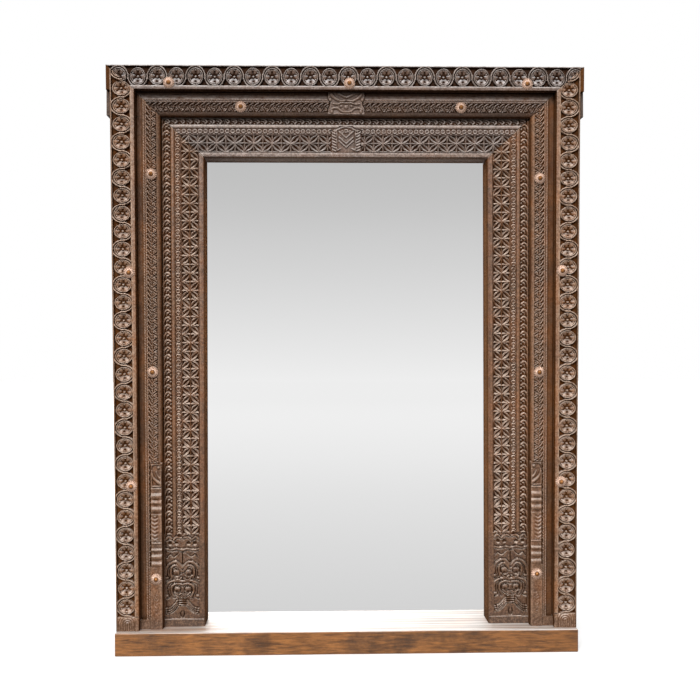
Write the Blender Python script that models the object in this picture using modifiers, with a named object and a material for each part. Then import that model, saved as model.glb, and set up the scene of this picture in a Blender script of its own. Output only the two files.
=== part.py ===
"""Carved hardwood door frame refitted as a tall standing mirror.

Three nested frames of moulded boards step back towards the glass. They lie on
two rebated posts and a lintel beam, which are tenoned and pegged together over
a plain sill. The mirror glass lies behind the innermost boards and is held by
a backing board, four battens and two braces. The front faces -Y, and the
origin is under the middle of the sill.
"""

import math

import bmesh
import bpy
from mathutils import Matrix, Vector

# Fit
FIT = 0.0003
OVERRUN = 0.004

# Clear opening, sill and the jambs' spread from foot to top
OPENING_WIDTH = 1.0
OPENING_HEIGHT = 1.647
SILL_HEIGHT = 0.079
SILL_MARGIN = 0.0003
SPLAY = 0.0196

# Thicknesses and steps, front to back
OUTER_SETBACK = 0.024
OUTER_THICKNESS = 0.026
MIDDLE_THICKNESS = 0.034
INNER_THICKNESS = 0.0554
GLASS_THICKNESS = 0.005
BACKING_THICKNESS = 0.006
BATTEN_LIP_THICKNESS = 0.011
BRACE_THICKNESS = 0.0115

# Outer boards
VINE_BAND = 0.063
HEAD_VINE_BAND = 0.066
OUTER_FILLET = 0.015
ARRIS = 0.003
QUIRK_WIDTH = 0.002
QUIRK_DEPTH = 0.002
CORNER_LUG = 0.012
LUG_DROP = 0.003

# Middle boards
MIDDLE_LAP = 0.014
LEAF_SINK = 0.0017
CHAMFER_WIDTH = 0.012
CHAMFER_DROP = 0.013
LEAF_BAND = 0.033
CORD_RADIUS = 0.0032
CORDS = 2
COVE_WIDTH = 0.0212
HEAD_COVE_WIDTH = 0.0242
COVE_DROP = 0.012
COVE_QUIRK = 0.003

# Inner boards
INNER_LAP = 0.012
SIGHT_CHAMFER = 0.003
SIGHT_FILLET = 0.013
FILLET_SINK = 0.0009
BAND_GROOVE = 0.003
STAR_BAND = 0.060
STAR_SINK = 0.003
RING_BAND = 0.019
RING_SINK = 0.0035
BEAD_RADIUS = 0.0075
HOOK_BAND = 0.028
HEAD_HOOK_BAND = 0.021
HOOK_SINK = 0.0035

# Foot panels of the inner jambs and plinths of the middle jambs
FOOT_PANEL_HEIGHT = 0.325
FOOT_PANEL_SINK = 0.0015
PLINTH_HEIGHT = 0.034
PLINTH_RISE = 0.0008

# Pilasters on the middle jambs
PILASTER_WIDTH = 0.0385
PILASTER_RISE = 0.0098
PILASTER_MARGIN = 0.001
PILASTER_HEIGHT = 0.573
PILASTER_BLOCK_HEIGHT = 0.216
PILASTER_BLOCK_RISE = 0.006
PILASTER_STEPS = 4

# Plaques on the middle and inner heads
MIDDLE_PLAQUE_WIDTH = 0.126
MIDDLE_PLAQUE_RISE = 0.006
PLAQUE_MARGIN = 0.0035
INNER_PLAQUE_WIDTH = 0.102
INNER_PLAQUE_RISE = 0.0015

# Posts and lintel
POST_INSET = 0.003
LINTEL_MARGIN = 0.0028
LINTEL_DROP = 0.002
LINTEL_TOP_INSET = 0.003
TENON_WIDTH = 0.070
TENON_THICKNESS = 0.040
TOP_TENON_HEIGHT = 0.060
FOOT_TENON_HEIGHT = 0.045
EASED_EDGE = 0.0025
TIMBER_EDGE = 0.0015

# Glass, backing, battens and braces
GLASS_LAP = 0.015
BATTEN_WIDTH = 0.045
BATTEN_LIP = 0.012
BOTTOM_BATTEN_HEIGHT = 0.040
BRACE_HEIGHT = 0.060
BRACE_END_GAP = 0.005
LOWER_BRACE_SHARE = 0.28
UPPER_BRACE_SHARE = 0.66

# Pegs
PEG_RADIUS = 0.008
PEG_LENGTH = 0.080
PEG_SIDES = 16

# Bosses: turned nail heads with a scalloped rim
BOSS_RADIUS = 0.0200
BOSS_RIM = 0.0022
BOSS_DOME_HEIGHT = 0.0066
BOSS_TIP_HEIGHT = 0.0160
BOSS_TIP_RADIUS = 0.0072
BOSS_GRIP = 0.014
NAIL_RADIUS = 0.0025
NAIL_POINT = 0.004
BOSS_STEPS = 36
SCALLOP_SHARE = 0.05
SHOULDER_RADIUS_SHARE = 0.72
SHOULDER_HEIGHT_SHARE = 0.78

# Screws
SCREW_HEAD_RADIUS = 0.0045
SCREW_HEAD_HEIGHT = 0.0032
SCREW_RADIUS = 0.0021
SCREW_BITE = 0.020
SCREW_POINT = 0.004
SCREW_STEPS = 12

# Where the bosses sit, hand-set and so not quite even. Across, a head's boss
# is a share of half the opening's width. Up, a jamb's boss is a share of the
# height from the sill's top to the top edge, and a foot's boss is a share of
# the pilaster's block. Left comes first, then right.
OUTER_HEAD_BOSS_SHARES = (-1.226, 0.021, 1.258)
MIDDLE_HEAD_BOSS_SHARES = (-0.735, 0.803)
OUTER_JAMB_BOSS_SHARES = ((0.256, 0.633), (0.260, 0.636))
MIDDLE_JAMB_BOSS_SHARES = ((0.457, 0.809), (0.455, 0.803))
FOOT_BOSS_SHARES = (0.808, 0.848)
OUTER_BOSS_INSET = 0.0212
MIDDLE_BOSS_INSET = 0.030

# A pilaster's mouldings above its block, from the top down: where each starts
# and ends as shares of the height, its edges' rise as a share of the full rise,
# and how much of the rise its middle adds
PILASTER_MEMBER_SHARES = (
    (0.0, 0.230, 0.70, 0.25),
    (0.234, 0.248, 0.70, 0.10),
    (0.283, 0.340, 0.55, 0.45),
    (0.352, 0.394, 0.55, 0.40),
    (0.415, 0.469, 0.55, 0.45),
    (0.488, 0.752, 0.75, 0.0),
    (0.761, 0.778, 0.70, 0.10),
    (0.820, 0.855, 0.55, 0.35),
    (0.879, 0.928, 0.55, 0.40),
    (0.948, 1.0, 0.60, 0.40),
)
PILASTER_NECK_SHARE = 0.45

# Where the batten and brace screws sit, as shares of the batten's length
SIDE_SCREW_SHARES = (0.06, 0.45, 0.94)
CROSS_SCREW_SHARES = (-0.62, 0.62)

# The depth is that of all the layers, with a fit behind each one from the
# outer boards to the braces
LAYERS = (
    OUTER_THICKNESS,
    MIDDLE_THICKNESS,
    INNER_THICKNESS,
    GLASS_THICKNESS,
    BACKING_THICKNESS,
    BATTEN_LIP_THICKNESS,
    BRACE_THICKNESS,
)
SILL_DEPTH = OUTER_SETBACK + sum(LAYERS) + FIT * len(LAYERS)

# Depths, front to back
FRONT = -SILL_DEPTH / 2
BACK = SILL_DEPTH / 2
OUTER_FACE = FRONT + OUTER_SETBACK
OUTER_BACK = OUTER_FACE + OUTER_THICKNESS
MIDDLE_FACE = OUTER_BACK + FIT
LEAF_FACE = MIDDLE_FACE + LEAF_SINK
MIDDLE_BACK = MIDDLE_FACE + MIDDLE_THICKNESS
INNER_FACE = MIDDLE_BACK + FIT
INNER_BACK = INNER_FACE + INNER_THICKNESS
GLASS_FACE = INNER_BACK + FIT
GLASS_BACK = GLASS_FACE + GLASS_THICKNESS
BACKING_FACE = GLASS_BACK + FIT
BACKING_BACK = BACKING_FACE + BACKING_THICKNESS
LIP_FACE = BACKING_BACK + FIT
BATTEN_BACK = LIP_FACE + BATTEN_LIP_THICKNESS
BRACE_FACE = BATTEN_BACK + FIT
BRACE_BACK = BRACE_FACE + BRACE_THICKNESS

# Visible widths of the boards, from the bands across each
OUTER_WIDTH = OUTER_FILLET + QUIRK_WIDTH + VINE_BAND
OUTER_HEAD_HEIGHT = OUTER_FILLET + QUIRK_WIDTH + HEAD_VINE_BAND
CORDS_WIDTH = 2 * CORDS * CORD_RADIUS
MIDDLE_BANDS = CHAMFER_WIDTH + LEAF_BAND + CORDS_WIDTH + COVE_QUIRK
MIDDLE_REVEAL = MIDDLE_BANDS + COVE_WIDTH
MIDDLE_HEAD_REVEAL = MIDDLE_BANDS + HEAD_COVE_WIDTH
SIGHT_EDGE = SIGHT_CHAMFER + SIGHT_FILLET
INNER_BANDS = SIGHT_EDGE + BAND_GROOVE + STAR_BAND + 2 * QUIRK_WIDTH + RING_BAND + 2 * BEAD_RADIUS
INNER_REVEAL = INNER_BANDS + HOOK_BAND
INNER_HEAD_REVEAL = INNER_BANDS + HEAD_HOOK_BAND
BLOCK_WIDTH = CHAMFER_WIDTH + LEAF_BAND - 2 * PILASTER_MARGIN

# Edges across and up
SILL_TOP = SILL_HEIGHT
STAND = SILL_TOP + FIT
HALF_OPENING = OPENING_WIDTH / 2
MIDDLE_EDGE = HALF_OPENING + INNER_REVEAL
OUTER_EDGE = MIDDLE_EDGE + MIDDLE_REVEAL
FRAME_EDGE = OUTER_EDGE + OUTER_WIDTH
OPENING_TOP = SILL_TOP + OPENING_HEIGHT
MIDDLE_HEAD_EDGE = OPENING_TOP + INNER_HEAD_REVEAL
OUTER_HEAD_EDGE = MIDDLE_HEAD_EDGE + MIDDLE_HEAD_REVEAL
TOP = OUTER_HEAD_EDGE + OUTER_HEAD_HEIGHT
LINTEL_TOP = TOP - LINTEL_TOP_INSET
LINTEL_BOTTOM = MIDDLE_HEAD_EDGE - LINTEL_DROP
GLASS_HALF = HALF_OPENING + GLASS_LAP
GLASS_TOP = OPENING_TOP + GLASS_LAP
BATTEN_INNER = GLASS_HALF + FIT
BATTEN_OUTER = GLASS_HALF + BATTEN_WIDTH
TENON_MIDDLE = (MIDDLE_EDGE + INNER_LAP + FRAME_EDGE) / 2

SIDES = {"left": -1, "right": 1}

FRAME_NAME = "standing_mirror"
FANNED_ENDINGS = ("_jamb", "_post")


def fanned(x, z):
    """A jamb's place across at a height: the jambs spread a little upwards, the opening stays parallel."""
    side = math.copysign(1, x)
    share = (abs(x) - HALF_OPENING) / (FRAME_EDGE - HALF_OPENING)
    rise = (z - (SILL_TOP + TOP) / 2) / (TOP - SILL_TOP)
    return x + side * SPLAY * share * rise


def arc(centre_u, centre_y, radius, start, end, steps):
    """Points on an arc in a moulding's section. Angles are in degrees, and 90 points to the front."""
    points = []
    for step in range(steps + 1):
        angle = math.radians(start + (end - start) * step / steps)
        points.append((centre_u + radius * math.cos(angle), centre_y - radius * math.sin(angle)))
    return points


def outer_section(width):
    """Section of an outer board: rounded fillet, quirk, flat carved band."""
    quirk_end = OUTER_FILLET + QUIRK_WIDTH
    return [
        (0, OUTER_BACK),
        *arc(ARRIS, OUTER_FACE + ARRIS, ARRIS, 180, 90, 2),
        (OUTER_FILLET, OUTER_FACE),
        (OUTER_FILLET, OUTER_FACE + QUIRK_DEPTH),
        (quirk_end, OUTER_FACE + QUIRK_DEPTH),
        (quirk_end, OUTER_FACE),
        (width, OUTER_FACE),
        (width, OUTER_BACK),
    ]


def middle_section(reveal):
    """Section of a middle board: chamfer, leaf band, cords, cove and the lap behind the outer board."""
    band_end = CHAMFER_WIDTH + LEAF_BAND
    cove_start = band_end + CORDS_WIDTH
    points = [
        (0, MIDDLE_BACK),
        (0, LEAF_FACE + CHAMFER_DROP),
        (CHAMFER_WIDTH, LEAF_FACE),
        (band_end, LEAF_FACE),
    ]
    centre = band_end + CORD_RADIUS
    while centre < cove_start:
        points += arc(centre, LEAF_FACE + CORD_RADIUS, CORD_RADIUS, 180, 0, 4)
        centre += 2 * CORD_RADIUS
    cove_end = reveal - COVE_QUIRK
    cove_top = LEAF_FACE + CORD_RADIUS
    cove_drop = COVE_DROP - CORD_RADIUS
    for step in range(1, 5):
        angle = math.radians(90 * step / 4)
        u = cove_end - (cove_end - cove_start) * math.cos(angle)
        points.append((u, cove_top + cove_drop * math.sin(angle)))
    points += [
        (cove_end, LEAF_FACE + COVE_DROP + QUIRK_DEPTH),
        (reveal, LEAF_FACE + COVE_DROP + QUIRK_DEPTH),
        (reveal, MIDDLE_FACE),
        (reveal + MIDDLE_LAP, MIDDLE_FACE),
        (reveal + MIDDLE_LAP, MIDDLE_BACK),
    ]
    return points


def inner_section(reveal):
    """Section of an inner board: sight fillet, star band, ring band, bead, hook band and the lap."""
    fillet_face = INNER_FACE + FILLET_SINK
    star_start = SIGHT_CHAMFER + SIGHT_FILLET + BAND_GROOVE
    ring_start = star_start + STAR_BAND + QUIRK_WIDTH
    bead_start = ring_start + RING_BAND
    hook_start = bead_start + 2 * BEAD_RADIUS
    return [
        (0, INNER_BACK),
        (0, fillet_face + SIGHT_CHAMFER),
        (SIGHT_CHAMFER, fillet_face),
        (star_start - BAND_GROOVE, fillet_face),
        (star_start - BAND_GROOVE, INNER_FACE + STAR_SINK + QUIRK_DEPTH),
        (star_start, INNER_FACE + STAR_SINK),
        (star_start + STAR_BAND, INNER_FACE + STAR_SINK),
        (ring_start, INNER_FACE + RING_SINK),
        (bead_start, INNER_FACE + RING_SINK),
        *arc(bead_start + BEAD_RADIUS, INNER_FACE + BEAD_RADIUS, BEAD_RADIUS, 180, 0, 6),
        (hook_start, INNER_FACE + HOOK_SINK),
        (reveal - QUIRK_WIDTH, INNER_FACE + HOOK_SINK),
        (reveal, INNER_FACE),
        (reveal + INNER_LAP, INNER_FACE),
        (reveal + INNER_LAP, INNER_BACK),
    ]


def rectangle(u_low, u_high, y_low, y_high):
    """A rectangular section."""
    return [(u_low, y_high), (u_low, y_low), (u_high, y_low), (u_high, y_high)]


def material(name, colour, roughness, metallic=0.0):
    """A plain Principled material, made once and then reused."""
    made = bpy.data.materials.get(name)
    if made is None:
        made = bpy.data.materials.new(name)
        made.use_nodes = True
        shader = made.node_tree.nodes["Principled BSDF"]
        shader.inputs["Base Color"].default_value = (*colour, 1.0)
        shader.inputs["Roughness"].default_value = roughness
        shader.inputs["Metallic"].default_value = metallic
    return made


def carved_wood():
    return material("carved_wood", (0.14, 0.078, 0.045), 0.55)


def sill_wood():
    return material("sill_wood", (0.21, 0.105, 0.045), 0.5)


def timber():
    return material("old_timber", (0.11, 0.065, 0.04), 0.7)


def batten_wood():
    return material("batten_wood", (0.42, 0.28, 0.16), 0.65)


def plywood():
    return material("plywood", (0.52, 0.38, 0.22), 0.6)


def mirror_silver():
    return material("mirror_glass", (0.9, 0.92, 0.92), 0.02, 1.0)


def copper():
    return material("aged_copper", (0.55, 0.31, 0.2), 0.4, 0.9)


def steel():
    return material("zinc_steel", (0.6, 0.6, 0.58), 0.35, 1.0)


class Shop:
    """The collections and the empty that every piece hangs from."""

    def __init__(self):
        for old in list(bpy.data.objects):
            bpy.data.objects.remove(old, do_unlink=True)
        self.parts = bpy.data.collections.new(FRAME_NAME)
        self.cutters = bpy.data.collections.new("cutters")
        self.cutters.hide_render = True
        for group in (self.parts, self.cutters):
            bpy.context.scene.collection.children.link(group)
        self.origin = bpy.data.objects.new("frame_origin", None)
        self.parts.objects.link(self.origin)

    def add(self, name, mesh, finish, location=(0, 0, 0), rotation=(0, 0, 0)):
        """Makes a named piece from a mesh."""
        piece = bpy.data.objects.new(name, mesh)
        if not mesh.materials:
            mesh.materials.append(finish)
        piece.location = location
        piece.rotation_euler = rotation
        piece.parent = self.origin
        self.parts.objects.link(piece)
        return piece

    def cutter(self, name, mesh):
        helper = bpy.data.objects.new(name, mesh)
        helper.hide_render = True
        helper.display_type = "WIRE"
        self.cutters.objects.link(helper)
        return helper

    def combine(self, piece, name, mesh, operation):
        """Cuts a mesh from a piece, or joins it on.

        The exact solver leaves the fanned boards' long faces open.
        """
        modifier = piece.modifiers.new(name, "BOOLEAN")
        modifier.operation = operation
        modifier.object = self.cutter(name, mesh)
        if piece.name.endswith(FANNED_ENDINGS):
            modifier.solver = "MANIFOLD"

    def cut(self, piece, name, mesh):
        self.combine(piece, name, mesh, "DIFFERENCE")

    def join(self, piece, name, mesh):
        self.combine(piece, name, mesh, "UNION")


def prism(name, section, low, high):
    """A solid with this section across and front to back, standing from low to high along Z."""
    curve = bpy.data.curves.new(name, "CURVE")
    curve.dimensions = "2D"
    curve.fill_mode = "BOTH"
    curve.extrude = (high - low) / 2
    spline = curve.splines.new("POLY")
    spline.points.add(len(section[1:]))
    for point, (u, y) in zip(spline.points, section):
        point.co = (u, y, 0, 1)
    spline.use_cyclic_u = True
    holder = bpy.data.objects.new(name, curve)
    bpy.context.scene.collection.objects.link(holder)
    holder.location.z = (low + high) / 2
    bpy.context.view_layer.update()
    graph = bpy.context.evaluated_depsgraph_get()
    mesh = bpy.data.meshes.new_from_object(holder.evaluated_get(graph))
    mesh.transform(holder.matrix_world)
    bpy.data.objects.remove(holder, do_unlink=True)
    bpy.data.curves.remove(curve)
    weld(mesh)
    return mesh


def weld(mesh):
    """Joins a curve's caps to its sides and drops points along straight edges."""
    shape = bmesh.new()
    shape.from_mesh(mesh)
    bmesh.ops.remove_doubles(shape, verts=shape.verts, dist=FIT / 10)
    bmesh.ops.dissolve_limit(
        shape, angle_limit=math.radians(0.1), verts=shape.verts, edges=shape.edges
    )
    bmesh.ops.recalc_face_normals(shape, faces=shape.faces)
    shape.to_mesh(mesh)
    shape.free()


def reshape(mesh, rule):
    """Moves every point of a mesh by a rule. Its faces become triangles, which stay flat, and face out."""
    shape = bmesh.new()
    shape.from_mesh(mesh)
    for vert in shape.verts:
        vert.co = rule(vert.co)
    bmesh.ops.triangulate(shape, faces=shape.faces)
    shape.normal_update()
    bmesh.ops.recalc_face_normals(shape, faces=shape.faces)
    shape.to_mesh(mesh)
    shape.free()
    return mesh


def on_side(mesh, side):
    """The right-hand mesh fanned, and mirrored for the left."""
    sign = SIDES[side]
    return reshape(mesh, lambda co: Vector((sign * fanned(co.x, co.z), co.y, co.z)))


def laid_across(mesh):
    """A standing prism laid down: its section's first direction points up and it runs across."""
    mesh.transform(Matrix.Rotation(math.radians(-90), 4, "Y"))
    return mesh


def sliced(mesh, point, normal):
    """Keeps what lies behind a plane, and closes the cut."""
    shape = bmesh.new()
    shape.from_mesh(mesh)
    geometry = list(shape.verts) + list(shape.edges) + list(shape.faces)
    cut = bmesh.ops.bisect_plane(
        shape, geom=geometry, dist=FIT / 100, plane_co=point, plane_no=normal, clear_outer=True
    )
    edges = [item for item in cut["geom_cut"] if isinstance(item, bmesh.types.BMEdge)]
    bmesh.ops.edgenet_fill(shape, edges=edges)
    bmesh.ops.recalc_face_normals(shape, faces=shape.faces)
    shape.to_mesh(mesh)
    shape.free()
    return mesh


def mitre(inner_x, inner_z, outer_x, outer_z, side):
    """A point on the mitre of a corner, and the direction from the head towards the jamb across it."""
    sign = SIDES[side]
    along = Vector((outer_x - inner_x, 0, outer_z - inner_z)).normalized()
    across = Vector((along.z, 0, -along.x))
    return Vector((sign * inner_x, 0, inner_z)), Vector((sign * across.x, 0, across.z))


def box(low, high):
    """A box between two corners, from a cube."""
    mesh = bpy.data.meshes.new("box")
    shape = bmesh.new()
    low, high = Vector(low), Vector(high)
    size = high - low
    bmesh.ops.create_cube(
        shape, size=1.0, matrix=Matrix.Translation((low + high) / 2) @ Matrix.Diagonal((*size, 1.0))
    )
    shape.to_mesh(mesh)
    shape.free()
    return mesh


def rods(places, radius, length, direction, sides):
    """Closed cylinders, each starting at one of the places and running along a direction, in one mesh."""
    mesh = bpy.data.meshes.new("rods")
    shape = bmesh.new()
    direction = Vector(direction)
    turn = direction.to_track_quat("Z", "Y").to_matrix().to_4x4()
    for place in places:
        middle = Vector(place) + direction * (length / 2)
        bmesh.ops.create_cone(
            shape,
            cap_ends=True,
            segments=sides,
            radius1=radius,
            radius2=radius,
            depth=length,
            matrix=Matrix.Translation(middle) @ turn,
        )
    shape.to_mesh(mesh)
    shape.free()
    return mesh


def turned(name, profile, steps):
    """A turned shape from a profile of (radius, height) points that runs down its outer side."""
    line = bpy.data.meshes.new(name)
    edges = [(i, i + 1) for i in range(len(profile) - 1)]
    line.from_pydata([(radius, 0, height) for radius, height in profile], edges, [])
    holder = bpy.data.objects.new(name, line)
    bpy.context.scene.collection.objects.link(holder)
    screw = holder.modifiers.new("turn", "SCREW")
    screw.steps = steps
    screw.render_steps = steps
    screw.use_merge_vertices = True
    screw.merge_threshold = FIT / 100
    bpy.context.view_layer.update()
    graph = bpy.context.evaluated_depsgraph_get()
    mesh = bpy.data.meshes.new_from_object(holder.evaluated_get(graph))
    bpy.data.objects.remove(holder, do_unlink=True)
    bpy.data.meshes.remove(line)
    shape = bmesh.new()
    shape.from_mesh(mesh)
    bmesh.ops.remove_doubles(shape, verts=shape.verts, dist=FIT / 100)
    bmesh.ops.recalc_face_normals(shape, faces=shape.faces)
    shape.to_mesh(mesh)
    shape.free()
    mesh.shade_smooth()
    mesh.set_sharp_from_angle(angle=math.radians(40))
    return mesh


def eased(piece, width):
    """Rounds a piece's long edges a little."""
    bevel = piece.modifiers.new("eased", "BEVEL")
    bevel.width = width
    bevel.segments = 1
    bevel.limit_method = "ANGLE"


def corner_points(layer):
    """The visible inner and outer corner of a layer's mitre, on the right."""
    corners = {
        "inner": ((HALF_OPENING, OPENING_TOP), (MIDDLE_EDGE, MIDDLE_HEAD_EDGE)),
        "middle": ((MIDDLE_EDGE, MIDDLE_HEAD_EDGE), (OUTER_EDGE, OUTER_HEAD_EDGE)),
        "outer": ((OUTER_EDGE, OUTER_HEAD_EDGE), (FRAME_EDGE + CORNER_LUG, TOP)),
    }
    (inner_x, inner_z), (outer_x, outer_z) = corners[layer]
    return fanned(inner_x, inner_z), inner_z, fanned(outer_x, outer_z), outer_z


def lap_corner(layer, edge, lap_top):
    """How far across and up a layer's hidden laps reach where they meet on the mitre."""
    inner_x, inner_z, outer_x, outer_z = corner_points(layer)
    slope = (outer_z - inner_z) / (outer_x - inner_x)
    jamb_x = fanned(edge, lap_top + FIT)
    across = max(jamb_x, inner_x + (lap_top - inner_z) / slope)
    up = max(lap_top, inner_z + (jamb_x - inner_x) * slope)
    return across + FIT, up + FIT


def jamb_mesh(layer, section, side, low=STAND):
    """A jamb board, fanned, with its upper end mitred."""
    mesh = on_side(prism(layer, section, low, TOP + OVERRUN), side)
    point, normal = mitre(*corner_points(layer), side)
    return sliced(mesh, point + normal * (FIT / 2), -normal)


def sill_half():
    """Half the sill's length: it ends with the jambs' feet."""
    return fanned(FRAME_EDGE, SILL_TOP) + SILL_MARGIN


def lintel_half():
    """Half the lintel's length: it ends just past the outer head's corners."""
    return fanned(FRAME_EDGE + CORNER_LUG, TOP) + LINTEL_MARGIN


def head_mesh(layer, section):
    """A head board with both ends mitred."""
    half = lintel_half() + OVERRUN
    mesh = laid_across(prism(layer, section, -half, half))
    for side in SIDES:
        point, normal = mitre(*corner_points(layer), side)
        mesh = sliced(mesh, point - normal * (FIT / 2), normal)
    return mesh


def shifted(section, edge):
    """A section moved to start at an edge."""
    return [(edge + u, y) for u, y in section]


def outer_frame(shop):
    """The outer head and jambs, with the rosette vine's flat band."""
    head_section = shifted(outer_section(OUTER_HEAD_HEIGHT), OUTER_HEAD_EDGE)
    pieces = {"outer_head": shop.add("outer_head", head_mesh("outer", head_section), carved_wood())}
    for side in SIDES:
        section = shifted(outer_section(OUTER_WIDTH + CORNER_LUG), OUTER_EDGE)
        name = f"outer_{side}_jamb"
        jamb = shop.add(name, jamb_mesh("outer", section, side), carved_wood())
        trim = box(
            (FRAME_EDGE, OUTER_FACE - OVERRUN, STAND - OVERRUN),
            (FRAME_EDGE + CORNER_LUG + OVERRUN, OUTER_BACK + OVERRUN, OUTER_HEAD_EDGE - LUG_DROP),
        )
        shop.cut(jamb, f"{name}_trim", on_side(trim, side))
        pieces[name] = jamb
    return pieces


def pilaster_outline():
    """The pilaster seen from its side, as heights and depths, from the top down to its block."""
    top = STAND + PILASTER_HEIGHT
    height = PILASTER_HEIGHT - PILASTER_BLOCK_HEIGHT
    back = MIDDLE_BACK - 2 * PLAQUE_MARGIN
    neck = LEAF_FACE - PILASTER_RISE * PILASTER_NECK_SHARE
    points = [(top, back)]
    for start_share, end_share, edge_share, swell_share in PILASTER_MEMBER_SHARES:
        if start_share > 0:
            points.append((top - height * start_share, neck))
        for step in range(PILASTER_STEPS + 1):
            share = step / PILASTER_STEPS
            rise_share = edge_share + swell_share * math.sin(math.pi * share)
            drop = height * (start_share + (end_share - start_share) * share)
            points.append((top - drop, LEAF_FACE - PILASTER_RISE * rise_share))
        if end_share < 1:
            points.append((top - height * end_share, neck))
    foot = STAND + PILASTER_BLOCK_HEIGHT - OVERRUN
    points += [(foot, points[-1][1]), (foot, back)]
    return points


def pilaster_mesh():
    """The pilaster, with its mouldings running straight across."""
    inner = MIDDLE_EDGE + PILASTER_MARGIN
    return laid_across(prism("pilaster", pilaster_outline(), -inner - PILASTER_WIDTH, -inner))


def middle_frame(shop):
    """The middle head and jambs, with the plaque, the plinths and the pilasters."""
    head_section = shifted(middle_section(MIDDLE_HEAD_REVEAL), MIDDLE_HEAD_EDGE)
    head = shop.add("middle_head", head_mesh("middle", head_section), carved_wood())
    half_plaque = MIDDLE_PLAQUE_WIDTH / 2
    plaque = box(
        (-half_plaque, LEAF_FACE - MIDDLE_PLAQUE_RISE, MIDDLE_HEAD_EDGE + PLAQUE_MARGIN),
        (half_plaque, MIDDLE_BACK - PLAQUE_MARGIN, OUTER_HEAD_EDGE - PLAQUE_MARGIN),
    )
    shop.join(head, "middle_head_plaque", plaque)
    pieces = {"middle_head": head}
    for side in SIDES:
        section = shifted(middle_section(MIDDLE_REVEAL), MIDDLE_EDGE)
        name = f"middle_{side}_jamb"
        jamb = shop.add(name, jamb_mesh("middle", section, side), carved_wood())
        plinth_section = rectangle(
            MIDDLE_EDGE + PLINTH_RISE,
            OUTER_EDGE - PLINTH_RISE,
            LEAF_FACE - PLINTH_RISE,
            MIDDLE_BACK - PLAQUE_MARGIN,
        )
        plinth = on_side(prism("plinth", plinth_section, STAND, STAND + PLINTH_HEIGHT), side)
        shop.join(jamb, f"{name}_plinth", plinth)
        block_edge = MIDDLE_EDGE + PILASTER_MARGIN
        block_section = rectangle(
            block_edge,
            block_edge + BLOCK_WIDTH,
            LEAF_FACE - PILASTER_BLOCK_RISE,
            MIDDLE_BACK - 2 * PLAQUE_MARGIN,
        )
        block = on_side(prism("block", block_section, STAND, STAND + PILASTER_BLOCK_HEIGHT), side)
        shop.join(jamb, f"{name}_block", block)
        shop.join(jamb, f"{name}_pilaster", on_side(pilaster_mesh(), side))
        pieces[name] = jamb
    return pieces


def inner_frame(shop):
    """The inner head and jambs, with the plaque and the flat foot panels."""
    head_section = shifted(inner_section(INNER_HEAD_REVEAL), OPENING_TOP)
    head = shop.add("inner_head", head_mesh("inner", head_section), carved_wood())
    half_plaque = INNER_PLAQUE_WIDTH / 2
    plaque_bottom = OPENING_TOP + SIGHT_EDGE
    plaque = box(
        (-half_plaque, INNER_FACE + INNER_PLAQUE_RISE, plaque_bottom),
        (half_plaque, INNER_BACK - PLAQUE_MARGIN, MIDDLE_HEAD_EDGE - PLAQUE_MARGIN),
    )
    shop.join(head, "inner_head_plaque", plaque)
    pieces = {"inner_head": head}
    panel_start = HALF_OPENING + SIGHT_EDGE
    for side in SIDES:
        section = shifted(inner_section(INNER_REVEAL), HALF_OPENING)
        name = f"inner_{side}_jamb"
        jamb = shop.add(name, jamb_mesh("inner", section, side), carved_wood())
        panel_section = rectangle(
            panel_start, MIDDLE_EDGE, INNER_FACE + FOOT_PANEL_SINK, INNER_BACK - PLAQUE_MARGIN
        )
        panel = on_side(prism("foot_panel", panel_section, STAND, STAND + FOOT_PANEL_HEIGHT), side)
        shop.join(jamb, f"{name}_foot_panel", panel)
        pieces[name] = jamb
    return pieces


def tenon_box(low_z, high_z, clearance):
    """The space of a post's tenon, on the right, with a clearance round it."""
    half_width = TENON_WIDTH / 2 + clearance
    half_thickness = TENON_THICKNESS / 2 + clearance
    middle_y = (INNER_FACE + BACK) / 2
    return box(
        (TENON_MIDDLE - half_width, middle_y - half_thickness, low_z),
        (TENON_MIDDLE + half_width, middle_y + half_thickness, high_z),
    )


def peg_places():
    """The back ends of the pegs: one through each tenon."""
    levels = {
        "top": LINTEL_BOTTOM + TOP_TENON_HEIGHT / 2,
        "foot": SILL_TOP - FOOT_TENON_HEIGHT / 2,
    }
    places = {}
    for side, sign in SIDES.items():
        for level, z in levels.items():
            places[f"{side}_{level}"] = (sign * fanned(TENON_MIDDLE, z), BACK, z)
    return places


def posts(shop):
    """The two rebated posts, with a tenon at each end."""
    pieces = {}
    front_edge = MIDDLE_EDGE + MIDDLE_REVEAL + MIDDLE_LAP + FIT
    section = [
        (MIDDLE_EDGE + INNER_LAP + FIT, BACK),
        (MIDDLE_EDGE + INNER_LAP + FIT, INNER_FACE),
        (front_edge, INNER_FACE),
        (front_edge, MIDDLE_FACE),
        (FRAME_EDGE - POST_INSET, MIDDLE_FACE),
        (FRAME_EDGE - POST_INSET, BACK),
    ]
    for side in SIDES:
        name = f"{side}_post"
        mesh = on_side(prism(name, section, STAND, LINTEL_BOTTOM - FIT), side)
        post = shop.add(name, mesh, timber())
        top_tenon = tenon_box(LINTEL_BOTTOM - OVERRUN, LINTEL_BOTTOM + TOP_TENON_HEIGHT, 0)
        foot_tenon = tenon_box(SILL_TOP - FOOT_TENON_HEIGHT, STAND + OVERRUN, 0)
        shop.join(post, f"{name}_top_tenon", on_side(top_tenon, side))
        shop.join(post, f"{name}_foot_tenon", on_side(foot_tenon, side))
        pieces[name] = post
    return pieces


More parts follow.
